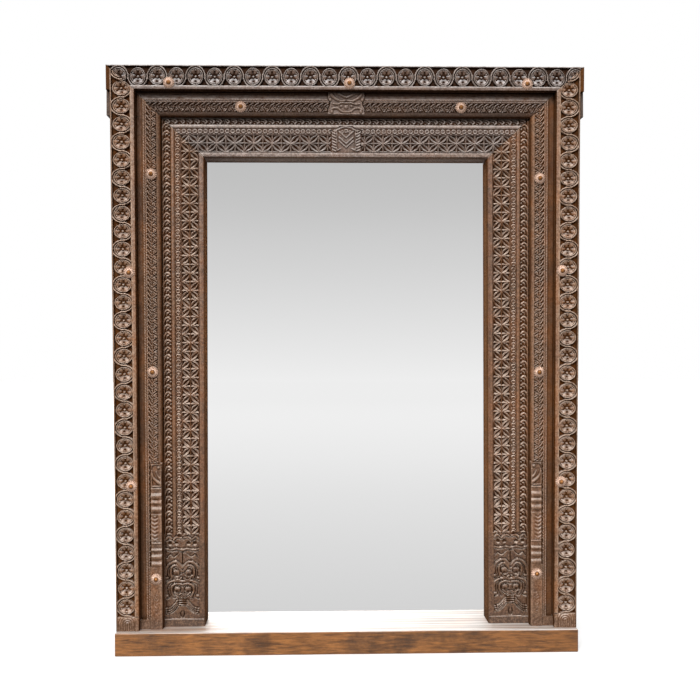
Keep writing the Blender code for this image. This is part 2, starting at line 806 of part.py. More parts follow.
def lintel_beam(shop):
    """The beam over the posts: its ends show as ears, and stopped rebates take the boards."""
    half = lintel_half()
    beam = shop.add(
        "lintel_beam", box((-half, MIDDLE_FACE, LINTEL_BOTTOM), (half, BACK, LINTEL_TOP)), timber()
    )
    eased(beam, TIMBER_EDGE)
    across, up = lap_corner("middle", OUTER_EDGE + MIDDLE_LAP, OUTER_HEAD_EDGE + MIDDLE_LAP)
    middle_rebate = box(
        (-across, MIDDLE_FACE - OVERRUN, LINTEL_BOTTOM - OVERRUN), (across, INNER_FACE, up)
    )
    across, up = lap_corner("inner", MIDDLE_EDGE + INNER_LAP, MIDDLE_HEAD_EDGE + INNER_LAP)
    inner_rebate = box(
        (-across, MIDDLE_FACE - OVERRUN, LINTEL_BOTTOM - OVERRUN), (across, INNER_BACK + FIT, up)
    )
    shop.cut(beam, "middle_rebate", middle_rebate)
    shop.cut(beam, "inner_rebate", inner_rebate)
    for side in SIDES:
        mortise = tenon_box(LINTEL_BOTTOM - OVERRUN, LINTEL_BOTTOM + TOP_TENON_HEIGHT + FIT, FIT)
        shop.cut(beam, f"{side}_top_mortise", on_side(mortise, side))
    return beam


def sill_board(shop):
    half = sill_half()
    sill = shop.add("sill", box((-half, FRONT, 0), (half, BACK, SILL_TOP)), sill_wood())
    eased(sill, EASED_EDGE)
    for side in SIDES:
        mortise = tenon_box(SILL_TOP - FOOT_TENON_HEIGHT - FIT, SILL_TOP + OVERRUN, FIT)
        shop.cut(sill, f"{side}_foot_mortise", on_side(mortise, side))
    return sill


def pegs(shop, lintel, sill, post_pieces):
    """Wooden pegs driven from the back through each tenon, and their holes."""
    mesh = rods([(0, 0, 0)], PEG_RADIUS, PEG_LENGTH, (0, -1, 0), PEG_SIDES)
    for name, place in peg_places().items():
        shop.add(f"peg_{name}", mesh, timber(), location=place)
    for piece, level in ((lintel, "top"), (sill, "foot")):
        ends = [place for name, place in peg_places().items() if name.endswith(level)]
        shop.cut(piece, f"{level}_peg_holes", peg_holes(ends))
    for side in SIDES:
        ends = [place for name, place in peg_places().items() if name.startswith(side)]
        shop.cut(post_pieces[f"{side}_post"], f"{side}_tenon_peg_holes", peg_holes(ends))


def peg_holes(ends):
    starts = [(x, y + OVERRUN, z) for x, y, z in ends]
    return rods(starts, PEG_RADIUS + FIT, PEG_LENGTH + OVERRUN + FIT, (0, -1, 0), PEG_SIDES)


def glazing(shop):
    """The mirror glass and the backing board behind it."""
    low, high = -GLASS_HALF, GLASS_HALF
    shop.add("mirror_glass", box((low, GLASS_FACE, STAND), (high, GLASS_BACK, GLASS_TOP)), mirror_silver())
    shop.add("backing_board", box((low, BACKING_FACE, STAND), (high, BACKING_BACK, GLASS_TOP)), plywood())


def side_batten_section():
    return [
        (BATTEN_INNER, GLASS_FACE),
        (BATTEN_OUTER, GLASS_FACE),
        (BATTEN_OUTER, BATTEN_BACK),
        (GLASS_HALF - BATTEN_LIP, BATTEN_BACK),
        (GLASS_HALF - BATTEN_LIP, LIP_FACE),
        (BATTEN_INNER, LIP_FACE),
    ]


def mirrored(mesh, side):
    sign = SIDES[side]
    return reshape(mesh, lambda co: Vector((sign * co.x, co.y, co.z)))


def battens(shop):
    """Rebated battens round the glass and a plain one along the sill."""
    top = GLASS_TOP + BATTEN_WIDTH
    pieces = {}
    for side in SIDES:
        name = f"{side}_retaining_batten"
        mesh = mirrored(prism(name, side_batten_section(), STAND, top), side)
        pieces[name] = shop.add(name, mesh, batten_wood())
    half = GLASS_HALF - BATTEN_LIP - FIT
    drop = GLASS_TOP - GLASS_HALF
    section = [(u + drop, y) for u, y in side_batten_section()]
    upper = laid_across(prism("top_retaining_batten", section, -half, half))
    pieces["top_retaining_batten"] = shop.add("top_retaining_batten", upper, batten_wood())
    lower = box((-half, LIP_FACE, STAND), (half, BATTEN_BACK, STAND + BOTTOM_BATTEN_HEIGHT))
    pieces["bottom_retaining_batten"] = shop.add("bottom_retaining_batten", lower, batten_wood())
    return pieces


def brace_levels():
    """The height of each brace's middle."""
    return {
        "lower": STAND + OPENING_HEIGHT * LOWER_BRACE_SHARE,
        "upper": STAND + OPENING_HEIGHT * UPPER_BRACE_SHARE,
    }


def braces(shop):
    """Two flat braces across the battens' backs, between the posts."""
    pieces = {}
    for level, z in brace_levels().items():
        half = fanned(MIDDLE_EDGE + INNER_LAP, z - BRACE_HEIGHT / 2) - BRACE_END_GAP
        name = f"{level}_rear_brace"
        low, high = z - BRACE_HEIGHT / 2, z + BRACE_HEIGHT / 2
        mesh = box((-half, BRACE_FACE, low), (half, BRACE_BACK, high))
        pieces[name] = shop.add(name, mesh, batten_wood())
    return pieces


def screw_profile(length):
    """A countersunk screw whose head is flush at height zero and whose shank runs down."""
    return [
        (0, 0),
        (SCREW_HEAD_RADIUS, 0),
        (SCREW_RADIUS, -SCREW_HEAD_HEIGHT),
        (SCREW_RADIUS, SCREW_POINT - length),
        (0, -length),
    ]


def screw_hole_profile(length):
    """The space round a screw, open above its head."""
    return [
        (0, OVERRUN),
        (SCREW_HEAD_RADIUS + FIT, OVERRUN),
        (SCREW_HEAD_RADIUS + FIT, 0),
        (SCREW_RADIUS + FIT, -SCREW_HEAD_HEIGHT),
        (SCREW_RADIUS + FIT, -length - FIT),
        (0, -length - FIT),
    ]


def fasten(shop, names, places, length, turn, pieces):
    """Screws at the places, turned alike, with their holes cut in each of the pieces."""
    mesh = turned("screw", screw_profile(length), SCREW_STEPS)
    for name, place in zip(names, places):
        shop.add(name, mesh, steel(), location=place, rotation=turn.to_euler())
    hole = turned("screw_hole", screw_hole_profile(length), SCREW_STEPS)
    merged = bmesh.new()
    for place in places:
        copy = hole.copy()
        copy.transform(Matrix.Translation(place) @ turn)
        merged.from_mesh(copy)
        bpy.data.meshes.remove(copy)
    for piece in pieces:
        mesh = bpy.data.meshes.new(f"{piece.name}_{names[0]}_holes")
        merged.to_mesh(mesh)
        shop.cut(piece, mesh.name, mesh)
    merged.free()


def screws(shop, batten_pieces, brace_pieces, inner_pieces, sill):
    """The screws of the battens and braces."""
    from_back = Matrix.Rotation(math.radians(-90), 4, "X")
    from_above = Matrix.Identity(4)
    top = GLASS_TOP + BATTEN_WIDTH
    row_x = (BATTEN_INNER + BATTEN_OUTER) / 2
    through = BATTEN_BACK - GLASS_FACE + SCREW_BITE
    for side, sign in SIDES.items():
        heights = [STAND + (top - STAND) * share for share in SIDE_SCREW_SHARES]
        places = [(sign * row_x, BATTEN_BACK, z) for z in heights]
        names = [f"{side}_batten_screw_{number}" for number in range(1, len(places) + 1)]
        targets = [batten_pieces[f"{side}_retaining_batten"], inner_pieces[f"inner_{side}_jamb"]]
        fasten(shop, names, places, through, from_back, targets)
    row_z = GLASS_TOP + (BATTEN_WIDTH + FIT) / 2
    places = [(HALF_OPENING * share, BATTEN_BACK, row_z) for share in CROSS_SCREW_SHARES]
    names = ["top_batten_screw_left", "top_batten_screw_right"]
    targets = [batten_pieces["top_retaining_batten"], inner_pieces["inner_head"]]
    fasten(shop, names, places, through, from_back, targets)
    middle_y = (LIP_FACE + BATTEN_BACK) / 2
    upper_z = STAND + BOTTOM_BATTEN_HEIGHT
    places = [(HALF_OPENING * share, middle_y, upper_z) for share in CROSS_SCREW_SHARES]
    names = ["bottom_batten_screw_left", "bottom_batten_screw_right"]
    targets = [batten_pieces["bottom_retaining_batten"], sill]
    fasten(shop, names, places, BOTTOM_BATTEN_HEIGHT + SCREW_BITE, from_above, targets)
    for level, z in brace_levels().items():
        places = [(sign * row_x, BRACE_BACK, z) for sign in SIDES.values()]
        names = [f"{level}_brace_screw_{side}" for side in SIDES]
        side_battens = [batten_pieces[f"{side}_retaining_batten"] for side in SIDES]
        targets = [brace_pieces[f"{level}_rear_brace"], *side_battens]
        fasten(shop, names, places, BRACE_THICKNESS + SCREW_BITE, from_back, targets)


def boss_mesh(grip):
    """A nail with a domed head: a scalloped rim, a low dome and a pointed tip, its seat at height zero."""
    profile = [
        (0, BOSS_TIP_HEIGHT),
        (BOSS_TIP_RADIUS, BOSS_DOME_HEIGHT),
        (BOSS_RADIUS * SHOULDER_RADIUS_SHARE, BOSS_DOME_HEIGHT * SHOULDER_HEIGHT_SHARE),
        (BOSS_RADIUS, BOSS_RIM),
        (BOSS_RADIUS, 0),
        (NAIL_RADIUS, 0),
        (NAIL_RADIUS, -grip),
        (0, -grip - NAIL_POINT),
    ]
    mesh = turned("boss", profile, BOSS_STEPS)
    petals = BOSS_STEPS / 2

    def scalloped(co):
        angle = math.atan2(co.y, co.x)
        rim_share = max(0.0, math.hypot(co.x, co.y) - BOSS_TIP_RADIUS) / (BOSS_RADIUS - BOSS_TIP_RADIUS)
        grow = 1 + SCALLOP_SHARE * rim_share * (math.cos(petals * angle) - 1)
        return Vector((co.x * grow, co.y * grow, co.z))

    return reshape(mesh, scalloped)


def boss_places():
    """Each boss's name with its seat's place and the board that it holds down."""
    places = []

    def add(name, x, face, z, board):
        places.append((f"boss_{name}", (x, face, z), board))

    z = OUTER_HEAD_EDGE + OUTER_BOSS_INSET
    for number, share in enumerate(OUTER_HEAD_BOSS_SHARES, 1):
        add(f"outer_head_{number}", HALF_OPENING * share, OUTER_FACE, z, "outer_head")
    z = MIDDLE_HEAD_EDGE + MIDDLE_BOSS_INSET
    for number, share in enumerate(MIDDLE_HEAD_BOSS_SHARES, 1):
        add(f"middle_head_{number}", HALF_OPENING * share, MIDDLE_FACE, z, "middle_head")
    height = TOP - SILL_TOP
    for (side, sign), shares in zip(SIDES.items(), OUTER_JAMB_BOSS_SHARES):
        for number, share in enumerate(shares, 1):
            z = SILL_TOP + height * share
            x = sign * fanned(OUTER_EDGE + OUTER_BOSS_INSET, z)
            add(f"outer_{side}_{number}", x, OUTER_FACE, z, f"outer_{side}_jamb")
    for (side, sign), shares in zip(SIDES.items(), MIDDLE_JAMB_BOSS_SHARES):
        for number, share in enumerate(shares, 1):
            z = SILL_TOP + height * share
            x = sign * fanned(MIDDLE_EDGE + MIDDLE_BOSS_INSET, z)
            add(f"middle_{side}_{number}", x, MIDDLE_FACE, z, f"middle_{side}_jamb")
    for (side, sign), share in zip(SIDES.items(), FOOT_BOSS_SHARES):
        z = STAND + PILASTER_BLOCK_HEIGHT * share
        x = sign * fanned(MIDDLE_EDGE + PILASTER_MARGIN + BLOCK_WIDTH / 2, z)
        add(f"foot_{side}", x, LEAF_FACE - PILASTER_BLOCK_RISE, z, f"middle_{side}_jamb")
    return places


def bosses(shop, boards, timbers):
    """The decorative nails, and their holes in the boards and in what lies behind."""
    facing_front = Matrix.Rotation(math.radians(90), 4, "X")
    meshes = {}
    holes = {}
    for name, (x, face, z), board in boss_places():
        back = OUTER_BACK if board.startswith("outer") else MIDDLE_BACK
        grip = back - face + BOSS_GRIP
        key = round(grip, 6)
        if key not in meshes:
            meshes[key] = boss_mesh(grip)
        seat = (x, face - FIT, z)
        shop.add(name, meshes[key], copper(), location=seat, rotation=facing_front.to_euler())
        start = (x, face - OVERRUN, z)
        length = OVERRUN + grip + NAIL_POINT + FIT
        carrier = "lintel_beam" if board.endswith("head") else f"{board.split('_')[1]}_post"
        for target in (board, carrier):
            holes.setdefault(target, []).append((start, length))
    for target, runs in holes.items():
        piece = boards.get(target) or timbers[target]
        for length in sorted({length for _, length in runs}):
            starts = [start for start, run in runs if run == length]
            mesh = rods(starts, NAIL_RADIUS + FIT, length, (0, 1, 0), PEG_SIDES // 2)
            shop.cut(piece, f"{target}_nail_holes_{round(length * 1000)}", mesh)


def main():
    shop = Shop()
    sill = sill_board(shop)
    lintel = lintel_beam(shop)
    post_pieces = posts(shop)
    outer = outer_frame(shop)
    middle = middle_frame(shop)
    inner = inner_frame(shop)
    glazing(shop)
    batten_pieces = battens(shop)
    brace_pieces = braces(shop)
    pegs(shop, lintel, sill, post_pieces)
    screws(shop, batten_pieces, brace_pieces, inner, sill)
    bosses(shop, {**outer, **middle}, {"lintel_beam": lintel, **post_pieces})


main()
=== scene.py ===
"""Looks of a tall standing mirror in a stepped, carved hardwood door frame.

Three nested frames of boards are built here with their carving, and stand for
the plain moulded boards of the model. The bosses and the sill get their worn
forms. Posts, beams, battens, screws and the glass keep their solids and get
their finishes.
"""

import logging
import math
from dataclasses import dataclass, replace
from enum import Enum
from typing import Optional, Sequence

import bmesh
import bpy
import numpy as np
from mathutils import Matrix, Vector


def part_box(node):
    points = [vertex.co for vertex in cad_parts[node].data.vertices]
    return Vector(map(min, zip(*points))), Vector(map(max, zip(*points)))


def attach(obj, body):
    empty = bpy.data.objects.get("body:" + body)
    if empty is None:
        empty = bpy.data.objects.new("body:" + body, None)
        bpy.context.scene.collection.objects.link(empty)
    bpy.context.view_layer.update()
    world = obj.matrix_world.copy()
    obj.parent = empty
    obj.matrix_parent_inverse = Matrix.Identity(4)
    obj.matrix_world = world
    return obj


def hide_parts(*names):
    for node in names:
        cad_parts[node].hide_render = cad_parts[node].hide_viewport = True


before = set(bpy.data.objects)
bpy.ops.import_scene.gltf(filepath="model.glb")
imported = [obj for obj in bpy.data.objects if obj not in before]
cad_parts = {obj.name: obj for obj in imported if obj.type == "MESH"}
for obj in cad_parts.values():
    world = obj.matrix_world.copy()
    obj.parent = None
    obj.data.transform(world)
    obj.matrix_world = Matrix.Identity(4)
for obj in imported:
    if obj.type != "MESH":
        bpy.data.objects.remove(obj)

LOG = logging.getLogger("standing_mirror")

Grid = np.ndarray
Colour = tuple[float, float, float]
Point = tuple[float, float]
Span = tuple[float, float]
Band = tuple[float, float]
Range = tuple[float, ...]
Piece = bpy.types.Object
Material = bpy.types.Material
Nodes = bpy.types.NodeTree
Node = bpy.types.Node
Socket = bpy.types.NodeSocket

# Sizes shared with the model, in metres
FIT = 0.0003
SPLAY = 0.0196
HALF_OPENING = 0.5
FRAME_EDGE = 0.807
SILL_TOP = 0.079
STAND = SILL_TOP + FIT
TOP = 2.032

# How the meshes are made
WALL_STEP = 0.00012
SHARP_ANGLE = math.radians(38)
TOUCHING = 1e-6
MM = 0.001

# The fixed pseudo-random numbers
KEY_WEIGHTS = (127.1, 311.7, 74.7)
MIXING = 43758.5453


class Member(Enum):
    """A board's place in its frame."""

    HEAD = "head"
    LEFT = "left_jamb"
    RIGHT = "right_jamb"


class Grain(Enum):
    """The way that the grain runs, as the stretch of the grain's pattern."""

    ALONG_X = (1.0, 9.0, 9.0)
    ALONG_Z = (9.0, 9.0, 1.0)


def smooth(value: Grid, low: float, high: float) -> Grid:
    """An eased step from 0 at low to 1 at high."""
    share = np.clip((value - low) / (high - low), 0.0, 1.0)
    return share * share * (3.0 - 2.0 * share)


def crown(offset: Grid, half_width: float | Grid) -> Grid:
    """A half-round section: 1 on the middle line, 0 from the half width outwards."""
    return np.sqrt(np.clip(1.0 - (offset / half_width) ** 2, 0.0, 1.0))


def between(value: Grid, low: float, high: float) -> Grid:
    """Where a value lies between two limits."""
    return (value > low) & (value < high)


def chance(*keys: Grid | float) -> Grid:
    """A fixed pseudo-random share.

    Args:
        *keys: one to three whole numbers, or grids of them.

    Returns:
        A share from 0 to 1 for each set of keys.
    """
    mixed = 0.0
    for weight, key in zip(KEY_WEIGHTS, keys):
        mixed = mixed + weight * np.asarray(key, dtype=float)
    mixed = np.sin(mixed) * MIXING
    return mixed - np.floor(mixed)


def uneven(across: Grid, along: Grid, size: float, seed: float) -> Grid:
    """Soft random waves.

    Args:
        across: positions across, in metres.
        along: positions along, in metres.
        size: the waves' length, in metres.
        seed: a number that picks one set of waves.

    Returns:
        The height of the waves at each position, from -1 to 1.
    """
    x, y = across / size, along / size
    column, row = np.floor(x), np.floor(y)
    share_x, share_y = smooth(x - column, 0, 1), smooth(y - row, 0, 1)
    low = chance(column, row, seed) * (1 - share_x) + chance(column + 1, row, seed) * share_x
    high = chance(column, row + 1, seed) * (1 - share_x) + chance(column + 1, row + 1, seed) * share_x
    return 2.0 * (low * (1 - share_y) + high * share_y) - 1.0


def blurred(field: Grid, reach: int) -> Grid:
    """The field averaged over a square window of cells.

    Args:
        field: values on a grid.
        reach: cells on each side of a cell, along both axes.

    Returns:
        The averaged values, on the same grid.
    """
    span = 2 * reach + 1
    for axis in (0, 1):
        ends = [(0, 0), (0, 0)]
        ends[axis] = (reach + 1, reach)
        sums = np.cumsum(np.pad(field, ends, mode="edge"), axis=axis)
        if axis == 0:
            field = (sums[span:] - sums[:-span]) / span
        else:
            field = (sums[:, span:] - sums[:, :-span]) / span
    return field


def fanned(x: Grid, z: Grid) -> Grid:
    """Places across at the heights z, since the jambs spread upwards from x at half height."""
    share = (x - HALF_OPENING) / (FRAME_EDGE - HALF_OPENING)
    rise = (z - (SILL_TOP + TOP) / 2) / (TOP - SILL_TOP)
    return x + SPLAY * share * rise


@dataclass(frozen=True)
class Stroke:
    """One carved line: a curve through points, half-round across, with a width at each end.

    Points are (across, along) in metres, and widths are half widths.
    """

    points: tuple[Point, ...]
    start: float
    end: float
    STEPS = 5
    SHORTEST = 1e-12

    def path(self) -> Grid:
        """A smooth curve through the stroke's own points."""
        knots = np.array(self.points, dtype=float)
        knots = np.vstack([2 * knots[0] - knots[1], knots, 2 * knots[-1] - knots[-2]])
        found = []
        for a, b, c, d in zip(knots, knots[1:], knots[2:], knots[3:]):
            for step in range(self.STEPS):
                t = step / self.STEPS
                bend = (2 * a - 5 * b + 4 * c - d) * t * t + (3 * b - a - 3 * c + d) * t**3
                found.append(0.5 * (2 * b + (c - a) * t + bend))
        found.append(knots[-2])
        return np.array(found)

    def relief(self, across: Grid, along: Grid) -> Grid:
        """How high the line stands at each position, as a share of its full height."""
        path = self.path()
        best = np.zeros_like(across)
        pieces = len(path) - 1
        for index in range(pieces):
            first, step = path[index], path[index + 1] - path[index]
            length = max(float(step @ step), self.SHORTEST)
            share = ((across - first[0]) * step[0] + (along - first[1]) * step[1]) / length
            share = np.clip(share, 0.0, 1.0)
            away = np.hypot(across - first[0] - share * step[0], along - first[1] - share * step[1])
            width = self.start + (self.end - self.start) * (index + share) / pieces
            best = np.maximum(best, crown(away, width))
        return best


@dataclass(frozen=True)
class Ball:
    """A small carved knob. With a ring width it is a raised ring instead."""

    across: float
    along: float
    radius: float
    ring: float = 0.0

    def relief(self, across: Grid, along: Grid) -> Grid:
        """How high the knob or ring stands at each position, as a share."""
        away = np.hypot(across - self.across, along - self.along)
        if self.ring:
            return crown(away - self.radius, self.ring)
        return crown(away, self.radius)


Mark = Stroke | Ball


def strokes(rows: Sequence[tuple], wide: float = MM, tall: float = MM) -> tuple[Stroke, ...]:
    """Strokes from a table, which is in millimetres unless it is told otherwise.

    Args:
        rows: the half widths at a stroke's start and end, and then its points.
        wide: what the widths and the points' places across are given in.
        tall: what the points' places along are given in.

    Returns:
        One stroke for each row.
    """
    made = []
    for start, end, *points in rows:
        made.append(Stroke(tuple((a * wide, b * tall) for a, b in points), start * wide, end * wide))
    return tuple(made)


def balls(rows: Sequence[tuple]) -> tuple[Ball, ...]:
    """Knobs and rings from a table of places, radii and widths in millimetres."""
    return tuple(Ball(*(size * MM for size in row)) for row in rows)


def raised(marks: Sequence[Mark], across: Grid, along: Grid) -> Grid:
    """The highest of several carved marks at each position, from 0 to 1."""
    best = np.zeros_like(across)
    for mark in marks:
        best = np.maximum(best, mark.relief(across, along))
    return best


def repeated(marks: Sequence[Mark], across: Grid, near: Grid, pitch: float) -> Grid:
    """The highest marks of a motif and of the motifs a pitch away on both sides, from 0 to 1."""
    return np.maximum.reduce([raised(marks, across, near + shift * pitch) for shift in (-1, 0, 1)])


@dataclass(frozen=True)
class Rhythm:
    """The even spacing of a repeated motif along a board."""

    pitch: float
    start: float = 0.0

    def local(self, along: Grid) -> tuple[Grid, Grid]:
        """Each position from its own motif's middle, and that motif's number."""
        count = np.round((along - self.start) / self.pitch)
        return along - self.start - count * self.pitch, count


class Pattern:
    """Carving that runs along a band of a board."""

    def relief(self, across: Grid, along: Grid) -> Grid:
        """Heights of the carving.

        Args:
            across: places from the band's inner edge.
            along: places along the board.

        Returns:
            Heights in metres, at or below 0, which is the band's face.
        """
        raise NotImplementedError


@dataclass(frozen=True)
class RosetteVine(Pattern):
    """Six-petalled flowers, each in a ring, with a vine that weaves over and under them.

    Radii and the spans along them are shares of the pitch. Heights are in metres,
    with 0 at the board's face.
    """

    rhythm: Rhythm
    middle: float
    upright: bool
    tall: float = 1.12
    slip_along: float = 0.012
    slip_across: float = 0.014
    turn: float = 0.22
    ring: float = 0.388
    ring_half: float = 0.027
    vine: float = 0.496
    vine_half: float = 0.034
    passing: float = 0.13
    ground: float = -0.0125
    top: float = -0.0003
    line_fall: float = 0.0026
    dish_radius: float = 0.364
    dish_curve: float = 1.25
    dish_bottom: float = -0.014
    dish_rim: float = -0.0026
    petal: float = 0.0024
    petal_curve: float = 0.7
    petal_start: Span = (0.07, 0.18)
    notch: float = 0.0044
    notch_curve: float = 1.3
    notch_start: Span = (0.13, 0.25)
    lip: float = 0.004
    lip_start: Span = (0.335, 0.35)
    bead_radius: float = 0.302
    bead_half: float = 0.042
    bead_foot: float = -0.007
    bead_rise: float = 0.0044
    knob: float = 0.062
    knob_foot: float = -0.0106
    knob_rise: float = 0.0058
    PETAL_PAIRS = 3
    SEEDS = (3.0, 5.0, 9.0)

    def relief(self, across: Grid, along: Grid) -> Grid:
        """Heights of the carving."""
        pitch = self.rhythm.pitch
        near, count = self.rhythm.local(along)
        along_by, across_by, turned_by = (chance(count, seed) - 0.5 for seed in self.SEEDS)
        a = near / pitch + self.slip_along * along_by
        c = (across - self.middle) / (self.tall * pitch) + self.slip_across * across_by
        radius = np.hypot(a, c)
        angle = np.arctan2(a, c) if self.upright else np.arctan2(c, a)
        angle = angle + self.turn * turned_by
        height = np.where(radius < self.dish_radius, self.flower(radius, angle), self.ground)
        height = self.lined(height, radius - self.ring, self.ring_half)
        return self.woven(height, a, c, count)

    def flower(self, radius: Grid, angle: Grid) -> Grid:
        """Heights of the flower, which is hollowed like a dish, with a knob in its middle."""
        lobe = np.abs(np.cos(self.PETAL_PAIRS * angle))
        share = np.clip(radius / self.dish_radius, 0, 1)
        dish = self.dish_bottom + (self.dish_rim - self.dish_bottom) * share**self.dish_curve
        petal = self.petal * lobe**self.petal_curve * smooth(radius, *self.petal_start)
        notch = self.notch * (1 - lobe) ** self.notch_curve * smooth(radius, *self.notch_start)
        height = dish + petal - notch - self.lip * smooth(radius, *self.lip_start)
        swing = (np.pi / 2 - np.arccos(np.clip(lobe, 0, 1))) / self.PETAL_PAIRS
        away = np.hypot(radius * np.cos(swing) - self.bead_radius, radius * np.sin(swing))
        bead = crown(away, self.bead_half)
        height = np.where(bead > 0, np.maximum(height, self.bead_foot + self.bead_rise * bead), height)
        knob = self.knob_foot + self.knob_rise * crown(radius, self.knob)
        return np.where(radius < self.knob, np.maximum(height, knob), height)

    def lined(self, height: Grid, offset: Grid, half: float, where: Grid | bool = True) -> Grid:
        """The heights with a half-round line raised on them."""
        line = crown(offset, half)
        risen = np.maximum(height, self.top - self.line_fall * (1 - line))
        return np.where((line > 0) & where, risen, height)

    def woven(self, height: Grid, a: Grid, c: Grid, count: Grid) -> Grid:
        """The heights with the vine's arcs raised round every second side of each ring."""
        radii = {step: np.hypot(a - step, c) for step in (-1, 0, 1)}
        for step, radius in radii.items():
            side = np.where((count + step) % 2 == 0, 1.0, -1.0)
            clear = c * side > -self.passing
            for other, far in radii.items():
                if other != step:
                    clear &= far > self.ring + self.ring_half
            height = self.lined(height, radius - self.vine, self.vine_half, clear)
        return height


@dataclass(frozen=True)
class StarChips(Pattern):
    """Chip carving: leaf cuts that cross, with four-pointed stars of pits between the crossings."""

    rhythm: Rhythm
    width: float
    slope: float = 0.038
    deepest: float = 0.01
    leaf: float = 0.35
    steeper: float = 1.7
    margin: float = 0.03

    def relief(self, across: Grid, along: Grid) -> Grid:
        """Heights of the chips."""
        near, _ = self.rhythm.local(along)
        x = np.abs(across - self.width / 2) / (self.width / 2)
        y = np.abs(near) / (self.rhythm.pitch / 2)
        half = self.leaf * np.sin(np.pi * np.clip((x + y) / 2, 0, 1))
        away = np.abs(x - y)
        inside = half - away
        edge = np.where(y > x, np.minimum(x, 1 - y), np.minimum(y, 1 - x))
        pit = np.minimum(away - half, edge)
        cut = np.where(away < half, inside, self.steeper * np.clip(pit, 0, None))
        return -np.minimum(self.slope * cut, self.deepest) * smooth(1 - x, 0.0, self.margin)


@dataclass(frozen=True)
class RingChain(Pattern):
    """A row of small rings, each with a dot, and diamonds between them.

    Sizes are shares of half the row's width, and rises are shares of the full height.
    """

    rhythm: Rhythm
    width: float
    ground: float = -0.0042
    ring: float = 0.64
    ring_half: float = 0.26
    dot: float = 0.24
    dot_rise: float = 0.75
    diamond: float = 0.45
    diamond_rise: float = 0.7

    def relief(self, across: Grid, along: Grid) -> Grid:
        """Heights of the rings."""
        near, _ = self.rhythm.local(along)
        half = self.width / 2
        away = np.hypot(across - half, near)
        line = crown(away - self.ring * half, self.ring_half * half)
        dot = crown(away, self.dot * half)
        corner = half - np.abs(across - half) + self.rhythm.pitch / 2 - np.abs(near)
        diamond = np.clip(1 - corner / (self.diamond * half), 0, 1)
        best = np.maximum(np.maximum(line, self.dot_rise * dot), self.diamond_rise * diamond)
        return self.ground * (1 - best)


@dataclass(frozen=True)
class HookRow(Pattern):
    """Leaf tongues that rise from the outer edge and curl down towards the opening."""

    rhythm: Rhythm
    width: float
    ground: float = -0.006
    roundness: float = 0.6
    TONGUE_SHARES = (
        (0.1, 0.13, (0.96, -0.5), (0.8, 0.02), (0.46, 0.34), (0.14, 0.1)),
        (0.07, 0.1, (0.58, -0.42), (0.5, -0.12), (0.34, -0.04)),
        (0.07, 0.07, (0.95, -0.5), (0.93, 0.5)),
    )
    BUD_SHARES = (0.12, -0.3, 0.1)

    def marks(self) -> tuple[Mark, ...]:
        """The lines of one tongue, from its middle along and the band's inner edge across."""
        across, along, radius = self.BUD_SHARES
        bud = Ball(across * self.width, along * self.rhythm.pitch, radius * self.width)
        return *strokes(self.TONGUE_SHARES, self.width, self.rhythm.pitch), bud

    def relief(self, across: Grid, along: Grid) -> Grid:
        """Heights of the tongues."""
        near, _ = self.rhythm.local(along)
        best = repeated(self.marks(), across, near, self.rhythm.pitch)
        return self.ground * (1 - best**self.roundness)


@dataclass(frozen=True)
class LeafScroll(Pattern):
    """Small slanting leaves along the outer side, and a running stem with lobes beside them.

    The leaves' points are shares of the band's width beyond the split, and the
    stem's are shares of the width inside it.
    """

    leaves: Rhythm
    scroll: Rhythm
    width: float
    split: float = 0.56
    ground: float = -0.0064
    roundness: float = 0.6
    parting: float = 0.035
    parting_rise: float = 0.8
    LEAF_SHARES = (
        (0.05, 0.085, (0.61, -0.42), (0.8, -0.1), (0.97, 0.42)),
        (0.03, 0.05, (0.56, 0.1), (0.72, 0.36)),
    )
    STEM_SHARES = (
        (0.09, 0.09, (-0.4, -0.5), (0.0, -0.28), (0.34, 0.0), (0.0, 0.28), (-0.4, 0.5)),
        (0.08, 0.15, (0.3, 0.02), (-0.1, 0.08), (-0.16, -0.12)),
    )
    BUD_SHARES = (0.36, 0.42, 0.12)

    def relief(self, across: Grid, along: Grid) -> Grid:
        """Heights of the leaves and the stem."""
        near, _ = self.leaves.local(along)
        pitch = self.leaves.pitch
        best = repeated(strokes(self.LEAF_SHARES, self.width, pitch), across, near, pitch)
        cut = self.width * self.split
        near, count = self.scroll.local(along)
        pitch = self.scroll.pitch
        level = (across - cut / 2) * np.where(count % 2 == 0, 1.0, -1.0)
        bud_across, bud_along, bud_radius = self.BUD_SHARES
        bud = Ball(bud_across * cut, bud_along * pitch, bud_radius * cut)
        best = np.maximum(best, raised((*strokes(self.STEM_SHARES, cut, pitch), bud), level, near))
        line = crown(across - cut, self.parting * self.width)
        return self.ground * (1 - np.maximum(best**self.roundness, self.parting_rise * line))


@dataclass(frozen=True)
class Rope(Pattern):
    """Two thin cords side by side, nicked slantwise like rope."""

    radius: float
    pitch: float = 0.0092
    nick: float = 0.0019
    sharpness: int = 5
    slant: float = 0.35
    stagger: float = 0.37

    def relief(self, across: Grid, along: Grid) -> Grid:
        """Heights of the cords."""
        side = np.floor(across / (2 * self.radius))
        offset = across - (side + 0.5) * 2 * self.radius
        slant = self.slant * np.where(side % 2 == 0, 1, -1) * offset / self.radius
        lay = along / self.pitch + slant + self.stagger * side
        cut = self.nick * np.abs(np.cos(np.pi * lay)) ** self.sharpness
        return -self.radius * (1 - crown(offset, self.radius)) - cut


class Overlay:
    """A carved panel or strip that stands on part of a board."""

    def over(self, depth: Grid, across: Grid, along: Grid) -> Grid:
        """The board's depths with this overlay's own where it lies.

        Args:
            depth: the board's depths behind its face, in metres.
            across: places from the board's inner edge.
            along: positions along the board, which are heights on a jamb.

        Returns:
            The new depths.
        """
        raise NotImplementedError


